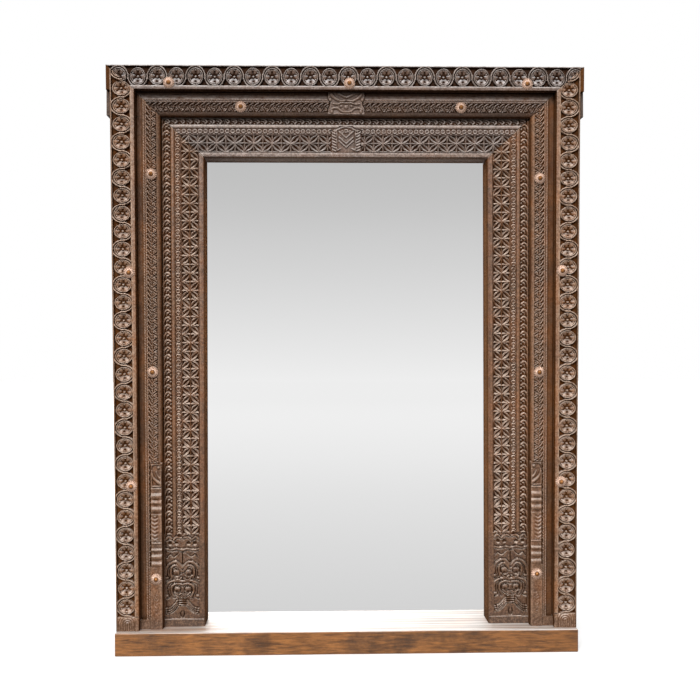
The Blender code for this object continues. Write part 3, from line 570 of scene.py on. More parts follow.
@dataclass(frozen=True)
class FootPanel(Overlay):
    """Looping bands round bulging drops on the foot of an inner jamb, above a plain plinth.

    The tables hold the right half: places from the panel's middle, and heights.
    """

    middle: float = 0.08
    half: float = 0.063
    top: float = 0.4
    rim_half: float = 0.002
    base: float = 0.006
    crest: float = 0.0004
    skirt: float = 0.0008
    rounding: float = 0.003
    rough: float = 0.0008
    rough_size: float = 0.0046
    rough_seed: float = 3.0
    rough_from: Span = (0.14, 0.18)
    groove: float = 0.003
    ball_groove: float = 0.0042
    groove_depth: float = 0.013
    groove_curve: float = 0.4
    cut_depth: float = 0.0066
    cut_curve: float = 0.7
    plinth: float = 0.106
    plinth_edge: float = 0.003
    plinth_face: float = 0.0004
    joint_half: float = 0.0012
    joint_depth: float = 0.0018
    brow: Sequence[Point] = ((0.0, 0.1625), (0.017, 0.161), (0.0285, 0.147), (0.042, 0.1365), (0.062, 0.132))
    brow_widths: Span = (0.0022, 0.0021)
    brow_pitch: float = 0.0078
    BANDS = (
        (3, 3.6, (4, 388), (20, 391), (31, 380)),
        (3, 3.4, (38, 384), (48, 392), (57, 382)),
        (4, 3.6, (2, 346), (20, 350), (40, 346), (59, 350)),
        (5.2, 4, (2, 284), (23.6, 304), (46, 296), (57.5, 279), (59.5, 260)),
        (4.6, 3.4, (4, 272), (21, 291.5), (37, 286), (42, 268), (38, 248)),
        (2.8, 3, (33.5, 256), (26, 244), (13, 241), (4, 248)),
        (4.8, 3.6, (0, 236), (27.5, 238), (50, 231), (59, 215), (57, 194)),
        (4.4, 3.4, (0, 224), (20, 227.5), (37, 219), (40, 201), (31, 180)),
        (2.8, 2.6, (28, 196), (16, 188), (5, 193)),
    )
    DROPS = (
        (56.5, 247, 6.4),
        (55.5, 183.5, 6.8),
        (21.2, 266, 11.2),
        (19.6, 207, 10.8),
    )
    CUTS = (
        (1.6, 1.2, (0, 337), (10.5, 337.2)),
        (1.8, 1.8, (0, 334), (0, 289)),
        (1.8, 3, (16, 333), (30, 322), (44, 330)),
        (2.6, 1.6, (48, 329), (56, 317)),
        (2, 1.4, (3.5, 180), (8.5, 176.5), (13, 181)),
        (1.6, 2.6, (5, 132), (6.8, 122.5), (3.5, 111)),
    )
    PITS = (
        (21.6, 369, 7.2),
        (44.6, 369, 7.2),
        (22.2, 259, 5.8),
        (20.4, 200.2, 5.8),
        (56, 240, 4),
        (55, 176.5, 4.4),
    )

    def bands(self) -> tuple[Mark, ...]:
        """The raised bands and drops of the right half."""
        brows = []
        for count in (1, 0, -1):
            places = tuple((a, z + count * self.brow_pitch) for a, z in self.brow)
            brows.append(Stroke(places, *self.brow_widths))
        return *strokes(self.BANDS), *balls(self.DROPS), *brows

    def widened(self, mark: Mark) -> Mark:
        """The mark with its groove on both sides."""
        if isinstance(mark, Ball):
            return replace(mark, radius=mark.radius + self.ball_groove)
        return replace(mark, start=mark.start + self.groove, end=mark.end + self.groove)

    def over(self, depth: Grid, across: Grid, along: Grid) -> Grid:
        """The board's depths with the panel carved on them."""
        level = np.abs(across - self.middle)
        bands = self.bands()
        band = raised(bands, level, along)
        beside = raised([self.widened(mark) for mark in bands], level, along)
        cut = raised(strokes(self.CUTS) + balls(self.PITS), level, along)
        rough = self.rough * uneven(across, along, self.rough_size, self.rough_seed)
        rough = rough * smooth(along, *self.rough_from)
        brow = np.interp(level, *zip(*self.brow))
        carved = self.crest + self.skirt + (self.base - self.crest) * (along > brow) + rough
        groove = self.groove_depth * beside**self.groove_curve
        carved = np.where(beside > 0, np.maximum(carved, groove), carved)
        carved = np.where(band > 0, self.crest + self.rounding * (1 - band), carved)
        carved = carved + self.cut_depth * cut**self.cut_curve
        depth = np.where((level < self.half) & between(along, self.plinth, self.top), carved, depth)
        rim = np.abs(level - self.half) < self.rim_half
        depth = np.where(rim & (along < self.top), self.crest, depth)
        depth = np.where((along < self.plinth) & (across > self.plinth_edge), self.plinth_face, depth)
        return np.where(np.abs(along - self.plinth) < self.joint_half, self.joint_depth, depth)


@dataclass(frozen=True)
class Moulding:
    """One member of the pilaster: where it starts and ends, and how it stands, as shares."""

    start: float
    end: float
    edge: float
    swell: float


@dataclass(frozen=True)
class Pilaster(Overlay):
    """A moulded strip with a notched shaft, on a plain block, at the foot of a middle jamb."""

    inner: float = 0.001
    outer: float = 0.0395
    top: float = 0.6523
    leaf_face: float = 0.0017
    rise: float = 0.0098
    neck: float = 0.45
    easing: float = 0.0022
    side_fall: float = 0.0016
    groove: float = 0.0035
    above: float = 0.01
    notch: float = 0.003
    notch_middle: float = 0.0262
    notch_half: float = 0.013
    notch_pitch: float = 0.0136
    notch_slant: float = 0.6
    notch_start: float = 0.1
    notch_margin: float = 0.01
    capital_ground: float = 0.28
    capital_curve: float = 0.6
    block_outer: float = 0.044
    block_top: float = 0.2953
    block_rise: float = 0.006
    block_fall: float = 0.0014
    leaf_span: Span = (0.1326, 0.2059)
    leaf_half: float = 0.01
    leaf_curve: float = 0.8
    leaf_line: float = 0.0012
    leaf_depth: float = 0.0012
    vein_pitch: float = 0.0105
    vein_slant: float = 0.9
    vein_sharpness: int = 8
    vein_share: float = 0.7
    worn: float = 0.0005
    worn_size: float = 0.005
    worn_seed: float = 21.0
    members: tuple[Moulding, ...] = (
        Moulding(0.0, 0.23, 0.7, 0.25),
        Moulding(0.234, 0.248, 0.7, 0.1),
        Moulding(0.283, 0.34, 0.55, 0.45),
        Moulding(0.352, 0.394, 0.55, 0.4),
        Moulding(0.415, 0.469, 0.55, 0.45),
        Moulding(0.488, 0.752, 0.75, 0.0),
        Moulding(0.761, 0.778, 0.7, 0.1),
        Moulding(0.82, 0.855, 0.55, 0.35),
        Moulding(0.879, 0.928, 0.55, 0.4),
        Moulding(0.948, 1.0, 0.6, 0.4),
    )
    SHAFT = 5
    CAPITAL = (
        (1.8, 2.2, (37, 638), (34.5, 647.5), (23, 651.5), (5, 650)),
        (2.4, 5.6, (35, 629), (32, 610), (22, 596), (7, 585)),
        (2, 3.6, (20, 625), (14, 612), (6, 602)),
        (2.2, 2.6, (37, 622), (36.5, 578)),
        (1.8, 2, (4, 630), (3.5, 576)),
        (2.4, 2.4, (34, 576), (7, 575)),
    )
    CURL = ((11.2, 640, 5),)

    def over(self, depth: Grid, across: Grid, along: Grid) -> Grid:
        """The board's depths with the strip and its block on them."""
        share = (self.top - along) / (self.top - self.block_top)
        height = np.full_like(across, self.neck)
        for member in self.members:
            part = np.clip((share - member.start) / (member.end - member.start), 0, 1)
            bulge = member.edge + member.swell * np.sin(np.pi * part)
            height = np.where(between(share, member.start, member.end), bulge, height)
        side = np.minimum(across - self.inner, self.outer - across)
        height = self.rise * height - self.side_fall * (1 - smooth(side, 0, self.easing))
        height = height - self.notches(across, along, share)
        height = np.where(share < self.members[0].end, self.capital(across, along), height)
        beside = (across < self.outer + self.groove) & between(share, -self.above, 1)
        depth = np.where(beside, self.leaf_face + self.groove, depth)
        depth = np.where((side > 0) & between(share, 0, 1), self.leaf_face - height, depth)
        return self.block(depth, across, along)

    def notches(self, across: Grid, along: Grid, share: Grid) -> Grid:
        """How deep the chevrons on the shaft are cut. They point down and keep off the inner side."""
        shaft = self.members[self.SHAFT]
        away = np.abs(across - self.notch_middle)
        part = np.clip(away / self.notch_half, 0, 1)
        part = np.clip(self.notch_start + (1 - self.notch_start) * part, 0, 1)
        arm = np.sqrt(np.clip(np.sin(np.pi * part), 0, 1))
        wave = 0.5 + 0.5 * np.cos(2 * np.pi * (along - self.notch_slant * away) / self.notch_pitch)
        within = between(share, shaft.start + self.notch_margin, shaft.end - self.notch_margin)
        return np.where(within & (away < self.notch_half), self.notch * arm * wave, 0.0)

    def capital(self, across: Grid, along: Grid) -> Grid:
        """Heights of the arch, the curl and the slanting leaf at the strip's top."""
        best = raised(strokes(self.CAPITAL) + balls(self.CURL), across, along)
        return self.rise * (self.capital_ground + (1 - self.capital_ground) * best**self.capital_curve)

    def block(self, depth: Grid, across: Grid, along: Grid) -> Grid:
        """The depths with the block and the faint leaf cut into it."""
        away = np.abs(across - (self.inner + self.block_outer) / 2)
        side = np.minimum(across - self.inner, self.block_outer - across)
        low, high = self.leaf_span
        share = np.clip((along - low) / (high - low), 0, 1)
        half = self.leaf_half * np.sin(np.pi * share) ** self.leaf_curve
        line = crown(away - half, self.leaf_line) * between(share, 0, 1)
        vein = np.cos(np.pi * (along - self.vein_slant * away) / self.vein_pitch)
        vein = np.abs(vein) ** self.vein_sharpness
        cut = self.leaf_depth * np.maximum(line, self.vein_share * vein * (away < half))
        cut = cut + self.block_fall * (1 - smooth(side, 0, self.easing))
        worn = self.worn * uneven(across, along, self.worn_size, self.worn_seed)
        within = (side > 0) & (along < self.block_top)
        return np.where(within, self.leaf_face - self.block_rise + cut + worn, depth)


@dataclass(frozen=True)
class CornicePlaque(Overlay):
    """A small shield with volutes in the middle of the middle head.

    The tables hold the right half, as places from the middle and heights.
    """

    bottom: float = 1.864
    low: float = 1.8695
    high: float = 1.9465
    waist: float = 1.906
    half: float = 0.056
    flare: float = 0.007
    flare_from: Span = (0.004, 0.018)
    face: float = 0.0003
    ground: float = 0.0044
    roundness: float = 0.6
    groove: float = 0.003
    groove_below: float = 0.0025
    groove_depth: float = 0.0085
    LINES = (
        (3.4, 4.8, (5, 1918), (22, 1916.5), (40, 1925), (52, 1938)),
        (3, 3.6, (0, 1929), (12, 1933), (28, 1942)),
        (2.8, 3, (0, 1908.5), (16, 1909.5), (30, 1905), (46, 1906.5)),
        (3.4, 4.2, (0, 1878), (16, 1880), (30, 1890.5), (44, 1891.5), (54, 1885)),
    )
    KNOBS = ((0, 1895, 7.4), (18, 1897, 4.4), (51, 1879.5, 6.2), (56, 1920, 5.4))

    def over(self, depth: Grid, across: Grid, along: Grid) -> Grid:
        """The head's depths with the shield on them."""
        level, up = np.abs(along), across + self.bottom
        outline = self.half + self.flare * smooth(np.abs(up - self.waist), *self.flare_from)
        within = (level < outline) & between(up, self.low, self.high)
        beside = (level < outline + self.groove) & between(up, self.low - self.groove_below, self.high)
        best = raised(strokes(self.LINES) + balls(self.KNOBS), level, up)
        depth = np.where(beside & ~within, np.maximum(depth, self.groove_depth), depth)
        return np.where(within, self.ground * (1 - best**self.roundness) + self.face, depth)


@dataclass(frozen=True)
class ArchPlaque(Overlay):
    """An arched panel with nested chevrons between ribs, in the middle of the inner head.

    The tables hold the right half, as places from the middle and heights. Each
    chevron starts at its own height, and each rib a pitch above the last.
    """

    bottom: float = 1.726
    low: float = 1.745
    half: float = 0.053
    arch: float = 1.8355
    arch_fall: float = 0.013
    arch_from: Span = (0.018, 0.045)
    ground: float = 0.0052
    rise: float = 0.0044
    roundness: float = 0.7
    edge_half: float = 0.0022
    edge_low: float = 1.744
    edge_depth: float = 0.0075
    rib_low: float = 1748
    rib_pitch: float = 10
    ribs: int = 8
    chip: Point = (0.057, 1.772)
    chip_radius: float = 0.005
    chip_flat: float = 0.8
    chip_depth: float = 0.004
    chip_rise: float = 0.003
    LINES = (
        (2.8, 2.6, (0, 1833.5), (16, 1830.5), (26, 1824.5), (33, 1822), (40, 1815)),
        (2.8, 3, (20, 1757), (30, 1752), (34, 1760)),
        (1.6, 1.6, (33, 1748), (33, 1818)),
    )
    RINGS = ((0, 1818.5, 5.2, 2), (14, 1815, 4.2, 2))
    APEXES = (1794.5, 1774.1, 1760.6)
    CHEVRON = (2.6, 2.6, (0, 0), (12.5, 11.5), (24.7, 22.5))
    RIB = (2.6, 3, (37, 0), (44, 3), (51, 6.5))

    def marks(self) -> tuple[Mark, ...]:
        """The panel's lines, rings, chevrons and ribs."""
        lows = [self.rib_low + self.rib_pitch * number for number in range(self.ribs)]
        raised_by = [(self.CHEVRON, apex) for apex in self.APEXES] + [(self.RIB, low) for low in lows]
        rows = []
        for (start, end, *points), lift in raised_by:
            rows.append((start, end, *((a, lift + z) for a, z in points)))
        return *strokes(self.LINES), *balls(self.RINGS), *strokes(rows)

    def over(self, depth: Grid, across: Grid, along: Grid) -> Grid:
        """The head's depths with the arched panel on them, and one chip out of its side."""
        level, up = np.abs(along), across + self.bottom
        arch = self.arch - self.arch_fall * smooth(level, *self.arch_from)
        carved = self.ground - self.rise * raised(self.marks(), level, up) ** self.roundness
        depth = np.where((level < self.half) & between(up, self.low, arch), carved, depth)
        edge = (np.abs(level - self.half) < self.edge_half) & between(up, self.edge_low, arch)
        depth = np.where(edge, self.edge_depth, depth)
        place, height = self.chip
        chipped = crown(np.hypot(along - place, (up - height) * self.chip_flat), self.chip_radius)
        return np.where(chipped > 0, np.minimum(depth, self.chip_depth - self.chip_rise * chipped), depth)


@dataclass(frozen=True)
class Layer:
    """Where one of the three nested frames lies.

    Widths and heights are what shows, before the lap that slides under the
    frame in front. The corner is what a jamb's mitre adds outside its edge.
    """

    name: str
    edge: float
    width: float
    head_edge: float
    head_width: float
    face: float
    back: float
    lap: float
    corner: float = 0.0

    def head_share(self, up: Grid) -> Grid:
        """A head's height above its inner edge as a place across the jambs."""
        return self.edge + (self.width + self.corner) * up / self.head_width

    def mitre_height(self, across: Grid) -> Grid:
        """The height at which a jamb meets the head, at a place across it."""
        return self.head_edge + self.head_width * across / (self.width + self.corner)


def spaced(bands: Sequence[Band]) -> Grid:
    """Places across a board, with a pair of places at each jump between two bands.

    Args:
        bands: the end of each band and the most room between two places on it, from the edge in.

    Returns:
        The places, in order.
    """
    places = []
    low = 0.0
    for index, (high, step) in enumerate(bands):
        first = low if index == 0 else low + WALL_STEP
        last = high if index == len(bands) - 1 else high - WALL_STEP
        count = max(1, math.ceil((last - first) / step))
        places.extend(np.linspace(first, last, count + 1))
        low = high
    return np.array(places)


def added(name: str, data: bpy.types.ID) -> Piece:
    """An object that holds a mesh, a lamp or a camera, in the scene."""
    made = bpy.data.objects.new(name, data)
    bpy.context.scene.collection.objects.link(made)
    return made


def mesh_object(name: str, points: Grid, faces: Sequence[Grid], marks: dict[str, Grid]) -> Piece:
    """A piece made of given points and faces.

    Args:
        name: the piece's name.
        points: one row of x, y and z for each point.
        faces: arrays of point numbers, one row for each face.
        marks: named values, one for each point, that the finishes read.

    Returns:
        The piece, in the scene, riding on the one body.
    """
    mesh = bpy.data.meshes.new(name)
    mesh.vertices.add(len(points))
    mesh.vertices.foreach_set("co", points.astype(np.float32).ravel())
    loops = np.concatenate([block.ravel() for block in faces]).astype(np.int32)
    sizes = np.concatenate([np.full(len(block), block.shape[1], dtype=np.int32) for block in faces])
    starts = np.concatenate([[0], np.cumsum(sizes)[:-1]]).astype(np.int32)
    mesh.loops.add(len(loops))
    mesh.loops.foreach_set("vertex_index", loops)
    mesh.polygons.add(len(sizes))
    mesh.polygons.foreach_set("loop_start", starts)
    mesh.update(calc_edges=True)
    mesh.validate()
    mesh.polygons.foreach_set("use_smooth", np.ones(len(sizes), dtype=bool))
    mesh.set_sharp_from_angle(angle=SHARP_ANGLE)
    for mark, values in marks.items():
        layer = mesh.attributes.new(mark, "FLOAT", "POINT")
        layer.data.foreach_set("value", values.astype(np.float32).ravel())
    piece = added(name, mesh)
    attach(piece, "root")
    return piece


def slab_faces(rows: int, columns: int, turned: bool) -> list[Grid]:
    """The faces of a closed slab whose front is a grid of points.

    The grid's points come first, row by row, then a pair of back points for
    each row.

    Args:
        rows: the grid's rows, along the board.
        columns: the grid's columns, across the board.
        turned: whether to turn every face round.

    Returns:
        Arrays of point numbers, one row for each face.
    """
    grid = np.arange(rows * columns).reshape(rows, columns)
    back = rows * columns + np.arange(2 * rows).reshape(rows, 2)
    near, far = back[:, 0], back[:, 1]
    front = np.stack([grid[:-1, :-1], grid[:-1, 1:], grid[1:, 1:], grid[1:, :-1]], axis=-1).reshape(-1, 4)
    first = np.stack([near[:-1], grid[:-1, 0], grid[1:, 0], near[1:]], axis=-1)
    last = np.stack([grid[:-1, -1], far[:-1], far[1:], grid[1:, -1]], axis=-1)
    behind = np.stack([far[:-1], near[:-1], near[1:], far[1:]], axis=-1)
    start = np.concatenate([grid[0][::-1], near[:1], far[:1]])[None, :]
    end = np.concatenate([grid[-1], far[-1:], near[-1:]])[None, :]
    faces = [front, first, last, behind, start, end]
    return [block[:, ::-1] for block in faces] if turned else faces


@dataclass
class CarvedBoard:
    """One board of a frame, with its moulded section and its carving.

    HOLLOW and PROUD hold the full size and the share of two differences: from
    what lies close round a point, and from what lies farther off.
    """

    layer: Layer
    member: Member
    # Painted light: the proud share of the return faces and back, which gives them the pale rubbed tone where
    # they lie in shade.
    return_light: float = 0.6
    # Painted shade: the hollow share of the return faces, back and lug.
    return_shade: float = 0.0
    step_along: float = 0.0015
    wear: float = 0.00035
    wear_sizes: Span = (0.011, 0.034)
    joint_drop: float = 0.0016
    REACHES = (3, 8)
    HOLLOW = ((0.0018, 0.35), (0.0044, 0.65))
    PROUD = ((0.0016, 0.7), (0.005, 0.3))
    FIRST_SEED = 11.0
    SEED_STEP = 7.0

    @property
    def name(self) -> str:
        """The name of the node that this board stands for."""
        return f"{self.layer.name}_{self.member.value}"

    @property
    def upright(self) -> bool:
        """Whether the board stands, as the jambs do."""
        return self.member is not Member.HEAD

    @property
    def joints(self) -> list[int]:
        """The rows of the grid that lie at a joint with another board."""
        return [-1] if self.upright else [0, -1]

    @property
    def shown(self) -> float:
        """The board's width, without its lap."""
        return self.layer.width if self.upright else self.layer.head_width

    def bands(self) -> Sequence[Band]:
        """The end and the step of each band across, from the inner edge."""
        raise NotImplementedError

    def depth(self, across: Grid, along: Grid) -> Grid:
        """The carving, without its overlays and its wear.

        Args:
            across: places from the board's inner edge.
            along: places along the board.

        Returns:
            Depths behind the layer's face, in metres.
        """
        raise NotImplementedError

    def overlays(self) -> Sequence[Overlay]:
        """The panels and strips that stand on the board."""
        return ()

    def places(self) -> tuple[Grid, Grid, Grid, Grid]:
        """The grid's places across and along the board, and their world x and z."""
        across = spaced(self.bands())
        layer = self.layer
        if self.upright:
            tops = layer.mitre_height(across) - FIT / 2
            rows = math.ceil((tops.max() - STAND) / self.step_along)
            share = np.linspace(0, 1, rows + 1)[:, None]
            along = STAND + share * (tops - STAND)[None, :]
            wide = np.broadcast_to(across, along.shape)
            return wide, along, fanned(layer.edge + wide, along), along
        height = layer.head_edge + across
        half = fanned(layer.head_share(across), height) - FIT / 2
        rows = math.ceil(2 * half.max() / self.step_along)
        share = np.linspace(-1, 1, rows + 1)[:, None]
        along = share * half[None, :]
        wide = np.broadcast_to(across, along.shape)
        return wide, along, along, np.broadcast_to(height, along.shape)

    def build(self) -> Piece:
        """The board as one closed solid, in place of its plain node."""
        across, along, x, z = self.places()
        depth = self.depth(across, along)
        for overlay in self.overlays():
            depth = overlay.over(depth, across, along)
        seed = self.FIRST_SEED + self.SEED_STEP * list(Member).index(self.member)
        waves = [uneven(across, along, size, seed + step) for step, size in enumerate(self.wear_sizes)]
        depth = depth + self.wear * (waves[0] + waves[1])
        depth[self.joints] += self.joint_drop
        front = np.stack([x, self.layer.face + depth, z], axis=-1)
        ends = np.stack([front[:, 0], front[:, -1]], axis=1)
        ends[..., 1] = self.layer.back
        points = np.concatenate([front.reshape(-1, 3), ends.reshape(-1, 3)])
        if self.member is Member.LEFT:
            points[:, 0] *= -1
        faces = slab_faces(*depth.shape, turned=self.member is not Member.RIGHT)
        extra, extra_faces = self.extra_solid(len(points))
        if extra is not None:
            points = np.concatenate([points, extra])
            faces = faces + extra_faces
        marks = self.marks(depth, self.grime_and_shade(across, depth), len(points))
        piece = mesh_object(f"carved_{self.name}", points, faces, marks)
        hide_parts(self.name)
        LOG.info("%s: %d faces", piece.name, len(piece.data.polygons))
        return piece

    def extra_solid(self, first: int) -> tuple[Optional[Grid], list[Grid]]:
        """A further closed solid of the same piece, or none."""
        return None, []

    def grime_and_shade(self, across: Grid, depth: Grid) -> Grid:
        """The share of grime and painted shade that lies on the carving's deep ground."""
        return np.zeros_like(depth)

    def marks(self, depth: Grid, grime_and_shade: Grid, total: int) -> dict[str, Grid]:
        """How hollow and how proud each point is against what lies round it.

        Args:
            depth: the board's depths.
            grime_and_shade: the least hollowness of each point, from grime and painted shade.
            total: the number of points in the piece.

        Returns:
            The shares by name, from 0 to 1, for every point.
        """
        # The hollow share darkens recesses: partly grime, partly painted shade where the carving is deep.
        away = [blurred(depth, reach) - depth for reach in self.REACHES]
        hollow = sum(np.clip(-part / size, 0, 1) * share for part, (size, share) in zip(away, self.HOLLOW))
        hollow = np.maximum(hollow, grime_and_shade)
        hollow[self.joints] = 1.0
        proud = sum(np.clip(part / size, 0, 1) * share for part, (size, share) in zip(away, self.PROUD))
        filled = {}
        # Points past the grid, on the returns, the back and any lug, take fixed shares: painted shade through
        # the hollow mark and painted light through the proud mark.
        for mark, values, beyond in (("hollow", hollow, self.return_shade), ("proud", proud, self.return_light)):
            filled[mark] = np.full(total, beyond)
            filled[mark][: values.size] = values.ravel()
        return filled


@dataclass
class OuterBoard(CarvedBoard):
    """A board of the front frame: a rounded fillet and a band of flowers and vine."""

    fillet: float = 0.0136
    band_end: float = 0.0752
    head_fillet: float = 0.0125
    head_band_end: float = 0.0795
    steps: tuple[float, float, float] = (0.0017, 0.00122, 0.0024)
    jamb_vine: RosetteVine = RosetteVine(Rhythm(0.06164, 0.1636), 0.0424, True, 1.15)
    head_vine: RosetteVine = RosetteVine(Rhythm(0.0661, 0.0075), 0.0436, False)
    swell: float = 0.003
    swell_end: float = 0.0045
    swell_half: float = 0.0095
    rail_fall: float = 0.0014
    rail_fall_width: float = 0.0035
    strip_face: float = 0.0004
    strip_fall: float = 0.0016
    strip_fall_width: float = 0.0022
    foot: float = 0.1275
    foot_joint_half: float = 0.0012
    foot_joint_depth: float = 0.005
    fan_middle: float = 0.04
    fan_height: float = 0.104
    fan_pitch: float = 0.0078
    fan_face: float = 0.002
    fan_rise: float = 0.0012
    plain_from: Span = (1.9435, 1.946)
    # Grime and painted shade on the deep ground between the flowers and the vine, and a plain darkening of
    # the outer strip.
    ground_grime_and_shade: float = 0.9
    ground_grime_and_shade_depths: Span = (0.005, 0.0085)
    strip_darkening: float = 0.55
    lug_bottom: float = 1.946
    lug_lap: float = 0.0004
    lug_drop: float = 0.0004
    lug_back: float = 0.0002
    step_along: float = 0.00138
    # The outer board's returns and lug take painted shade and no painted light.
    return_light: float = 0.0
    return_shade: float = 0.8
    LUG_FACES = ((0, 1, 2, 3), (5, 4, 7, 6), (4, 5, 1, 0), (5, 6, 2, 1), (6, 7, 3, 2), (7, 4, 0, 3))

    @property
    def limits(self) -> Span:
        """Where the fillet and the band of flowers end on this board."""
        return (self.fillet, self.band_end) if self.upright else (self.head_fillet, self.head_band_end)

    def bands(self) -> Sequence[Band]:
        """The end and the step of each band across."""
        return tuple(zip((*self.limits, self.shown), self.steps))

    def depth(self, across: Grid, along: Grid) -> Grid:
        """The fillet, the band and the strip outside it, and a jamb's plain foot."""
        fillet, band_end = self.limits
        vine = self.jamb_vine if self.upright else self.head_vine
        carved = -vine.relief(across, along)
        swell = self.swell * (1 - crown(across - self.swell_end, self.swell_half)) * (across < self.swell_end)
        rail = swell + self.rail_fall * smooth(across, fillet - self.rail_fall_width, fillet)
        fall = smooth(across, self.shown - self.strip_fall_width, self.shown)
        strip = self.strip_face + self.strip_fall * fall
        depth = np.where(across < fillet, rail, np.where(across < band_end, carved, strip))
        if not self.upright:
            return depth
        radius = np.hypot(across - self.fan_middle, np.clip(along - self.fan_height, 0, None))
        plain = self.fan_face + self.fan_rise * np.cos(2 * np.pi * radius / self.fan_pitch)
        depth = np.where((along < self.foot) & between(across, fillet, band_end), plain, depth)
        joint = (np.abs(along - self.foot) < self.foot_joint_half) & (across < band_end)
        depth = np.where(joint, self.foot_joint_depth, depth)
        return np.where(across > band_end, depth * (1 - smooth(along, *self.plain_from)), depth)

    def grime_and_shade(self, across: Grid, depth: Grid) -> Grid:
        """The share of grime and painted shade on the ground between the flowers and the vine, and a plain
        darkening of the strip outside the band.
        """
        sunk = self.ground_grime_and_shade * smooth(depth, *self.ground_grime_and_shade_depths) * (across > self.fillet)
        return np.where(across < self.limits[1], sunk, self.strip_darkening)

    def extra_solid(self, first: int) -> tuple[Optional[Grid], list[Grid]]:
        """The lug outside a jamb's top corner.

        Args:
            first: the number of the lug's first point.

        Returns:
            The lug's points and faces, or none for the head.
        """
        if not self.upright:
            return None, []
        layer = self.layer
        inner, outer = self.shown - self.lug_lap, self.shown + layer.corner
        side = -1.0 if self.member is Member.LEFT else 1.0
        points = []
        for y in (layer.face + self.lug_drop, layer.back - self.lug_back):
            for across, top in ((inner, False), (outer, False), (outer, True), (inner, True)):
                z = float(layer.mitre_height(across)) - FIT / 2 if top else self.lug_bottom
                points.append((side * float(fanned(layer.edge + across, z)), y, z))
        faces = np.array(self.LUG_FACES)
        if side < 0:
            faces = faces[:, ::-1]
        return np.array(points), [faces + first]


@dataclass
class MiddleBoard(CarvedBoard):
    """A board of the middle frame: chamfer, leaf band, two cords and a cove."""

    chamfer: float = 0.012
    chamfer_drop: float = 0.013
    leaf_face: float = 0.0017
    leaf_end: float = 0.045
    leaves: Rhythm = Rhythm(0.0187, 0.004)
    scroll: Rhythm = Rhythm(0.0185, 0.002)
    cord_radius: float = 0.0032
    cord_end: float = 0.0578
    quirk: float = 0.003
    quirk_drop: float = 0.002
    cove_top: float = 0.0032
    cove_drop: float = 0.0088
    plain_top: float = 0.112
    plain_face: float = 0.0005
    steps: tuple[float, ...] = (0.0024, 0.00128, 0.0011, 0.0011, 0.0022, 0.003, 0.014)

    @property
    def cove_end(self) -> float:
        """Where the cove meets its quirk."""
        return self.shown - self.quirk

    def bands(self) -> Sequence[Band]:
        """The end and the step of each band across."""
        carved = self.chamfer, self.leaf_end, self.leaf_end + 2 * self.cord_radius, self.cord_end
        return tuple(zip((*carved, self.cove_end, self.shown, self.shown + self.layer.lap), self.steps))

    def overlays(self) -> Sequence[Overlay]:
        """The pilaster on a jamb, or the shield on the head."""
        return (Pilaster(),) if self.upright else (CornicePlaque(),)

    def depth(self, across: Grid, along: Grid) -> Grid:
        """The chamfer, the leaf band, the cords and the cove, with its quirk and its lap."""
        leaves = LeafScroll(self.leaves, self.scroll, self.leaf_end - self.chamfer)
        slope = self.leaf_face + self.chamfer_drop * (1 - across / self.chamfer)
        leaf = self.leaf_face - leaves.relief(across - self.chamfer, along)
        cords = -Rope(self.cord_radius).relief(across - self.leaf_end, along)
        share = np.clip((self.cove_end - across) / (self.cove_end - self.cord_end), 0, 1)
        cove = self.cove_top + self.cove_drop * np.sqrt(1 - share**2)
        depth = np.where(across < self.chamfer, slope, leaf)
        depth = np.where(across > self.leaf_end, cords, depth)
        depth = np.where(across > self.cord_end, cove, depth)
        depth = np.where(across > self.cove_end, self.cove_top + self.cove_drop + self.quirk_drop, depth)
        depth = np.where(across > self.shown, 0.0, depth)
        if not self.upright:
            return depth
        plain = (along < self.plain_top) & between(across, self.leaf_end, self.shown)
        return np.where(plain, self.plain_face, depth)


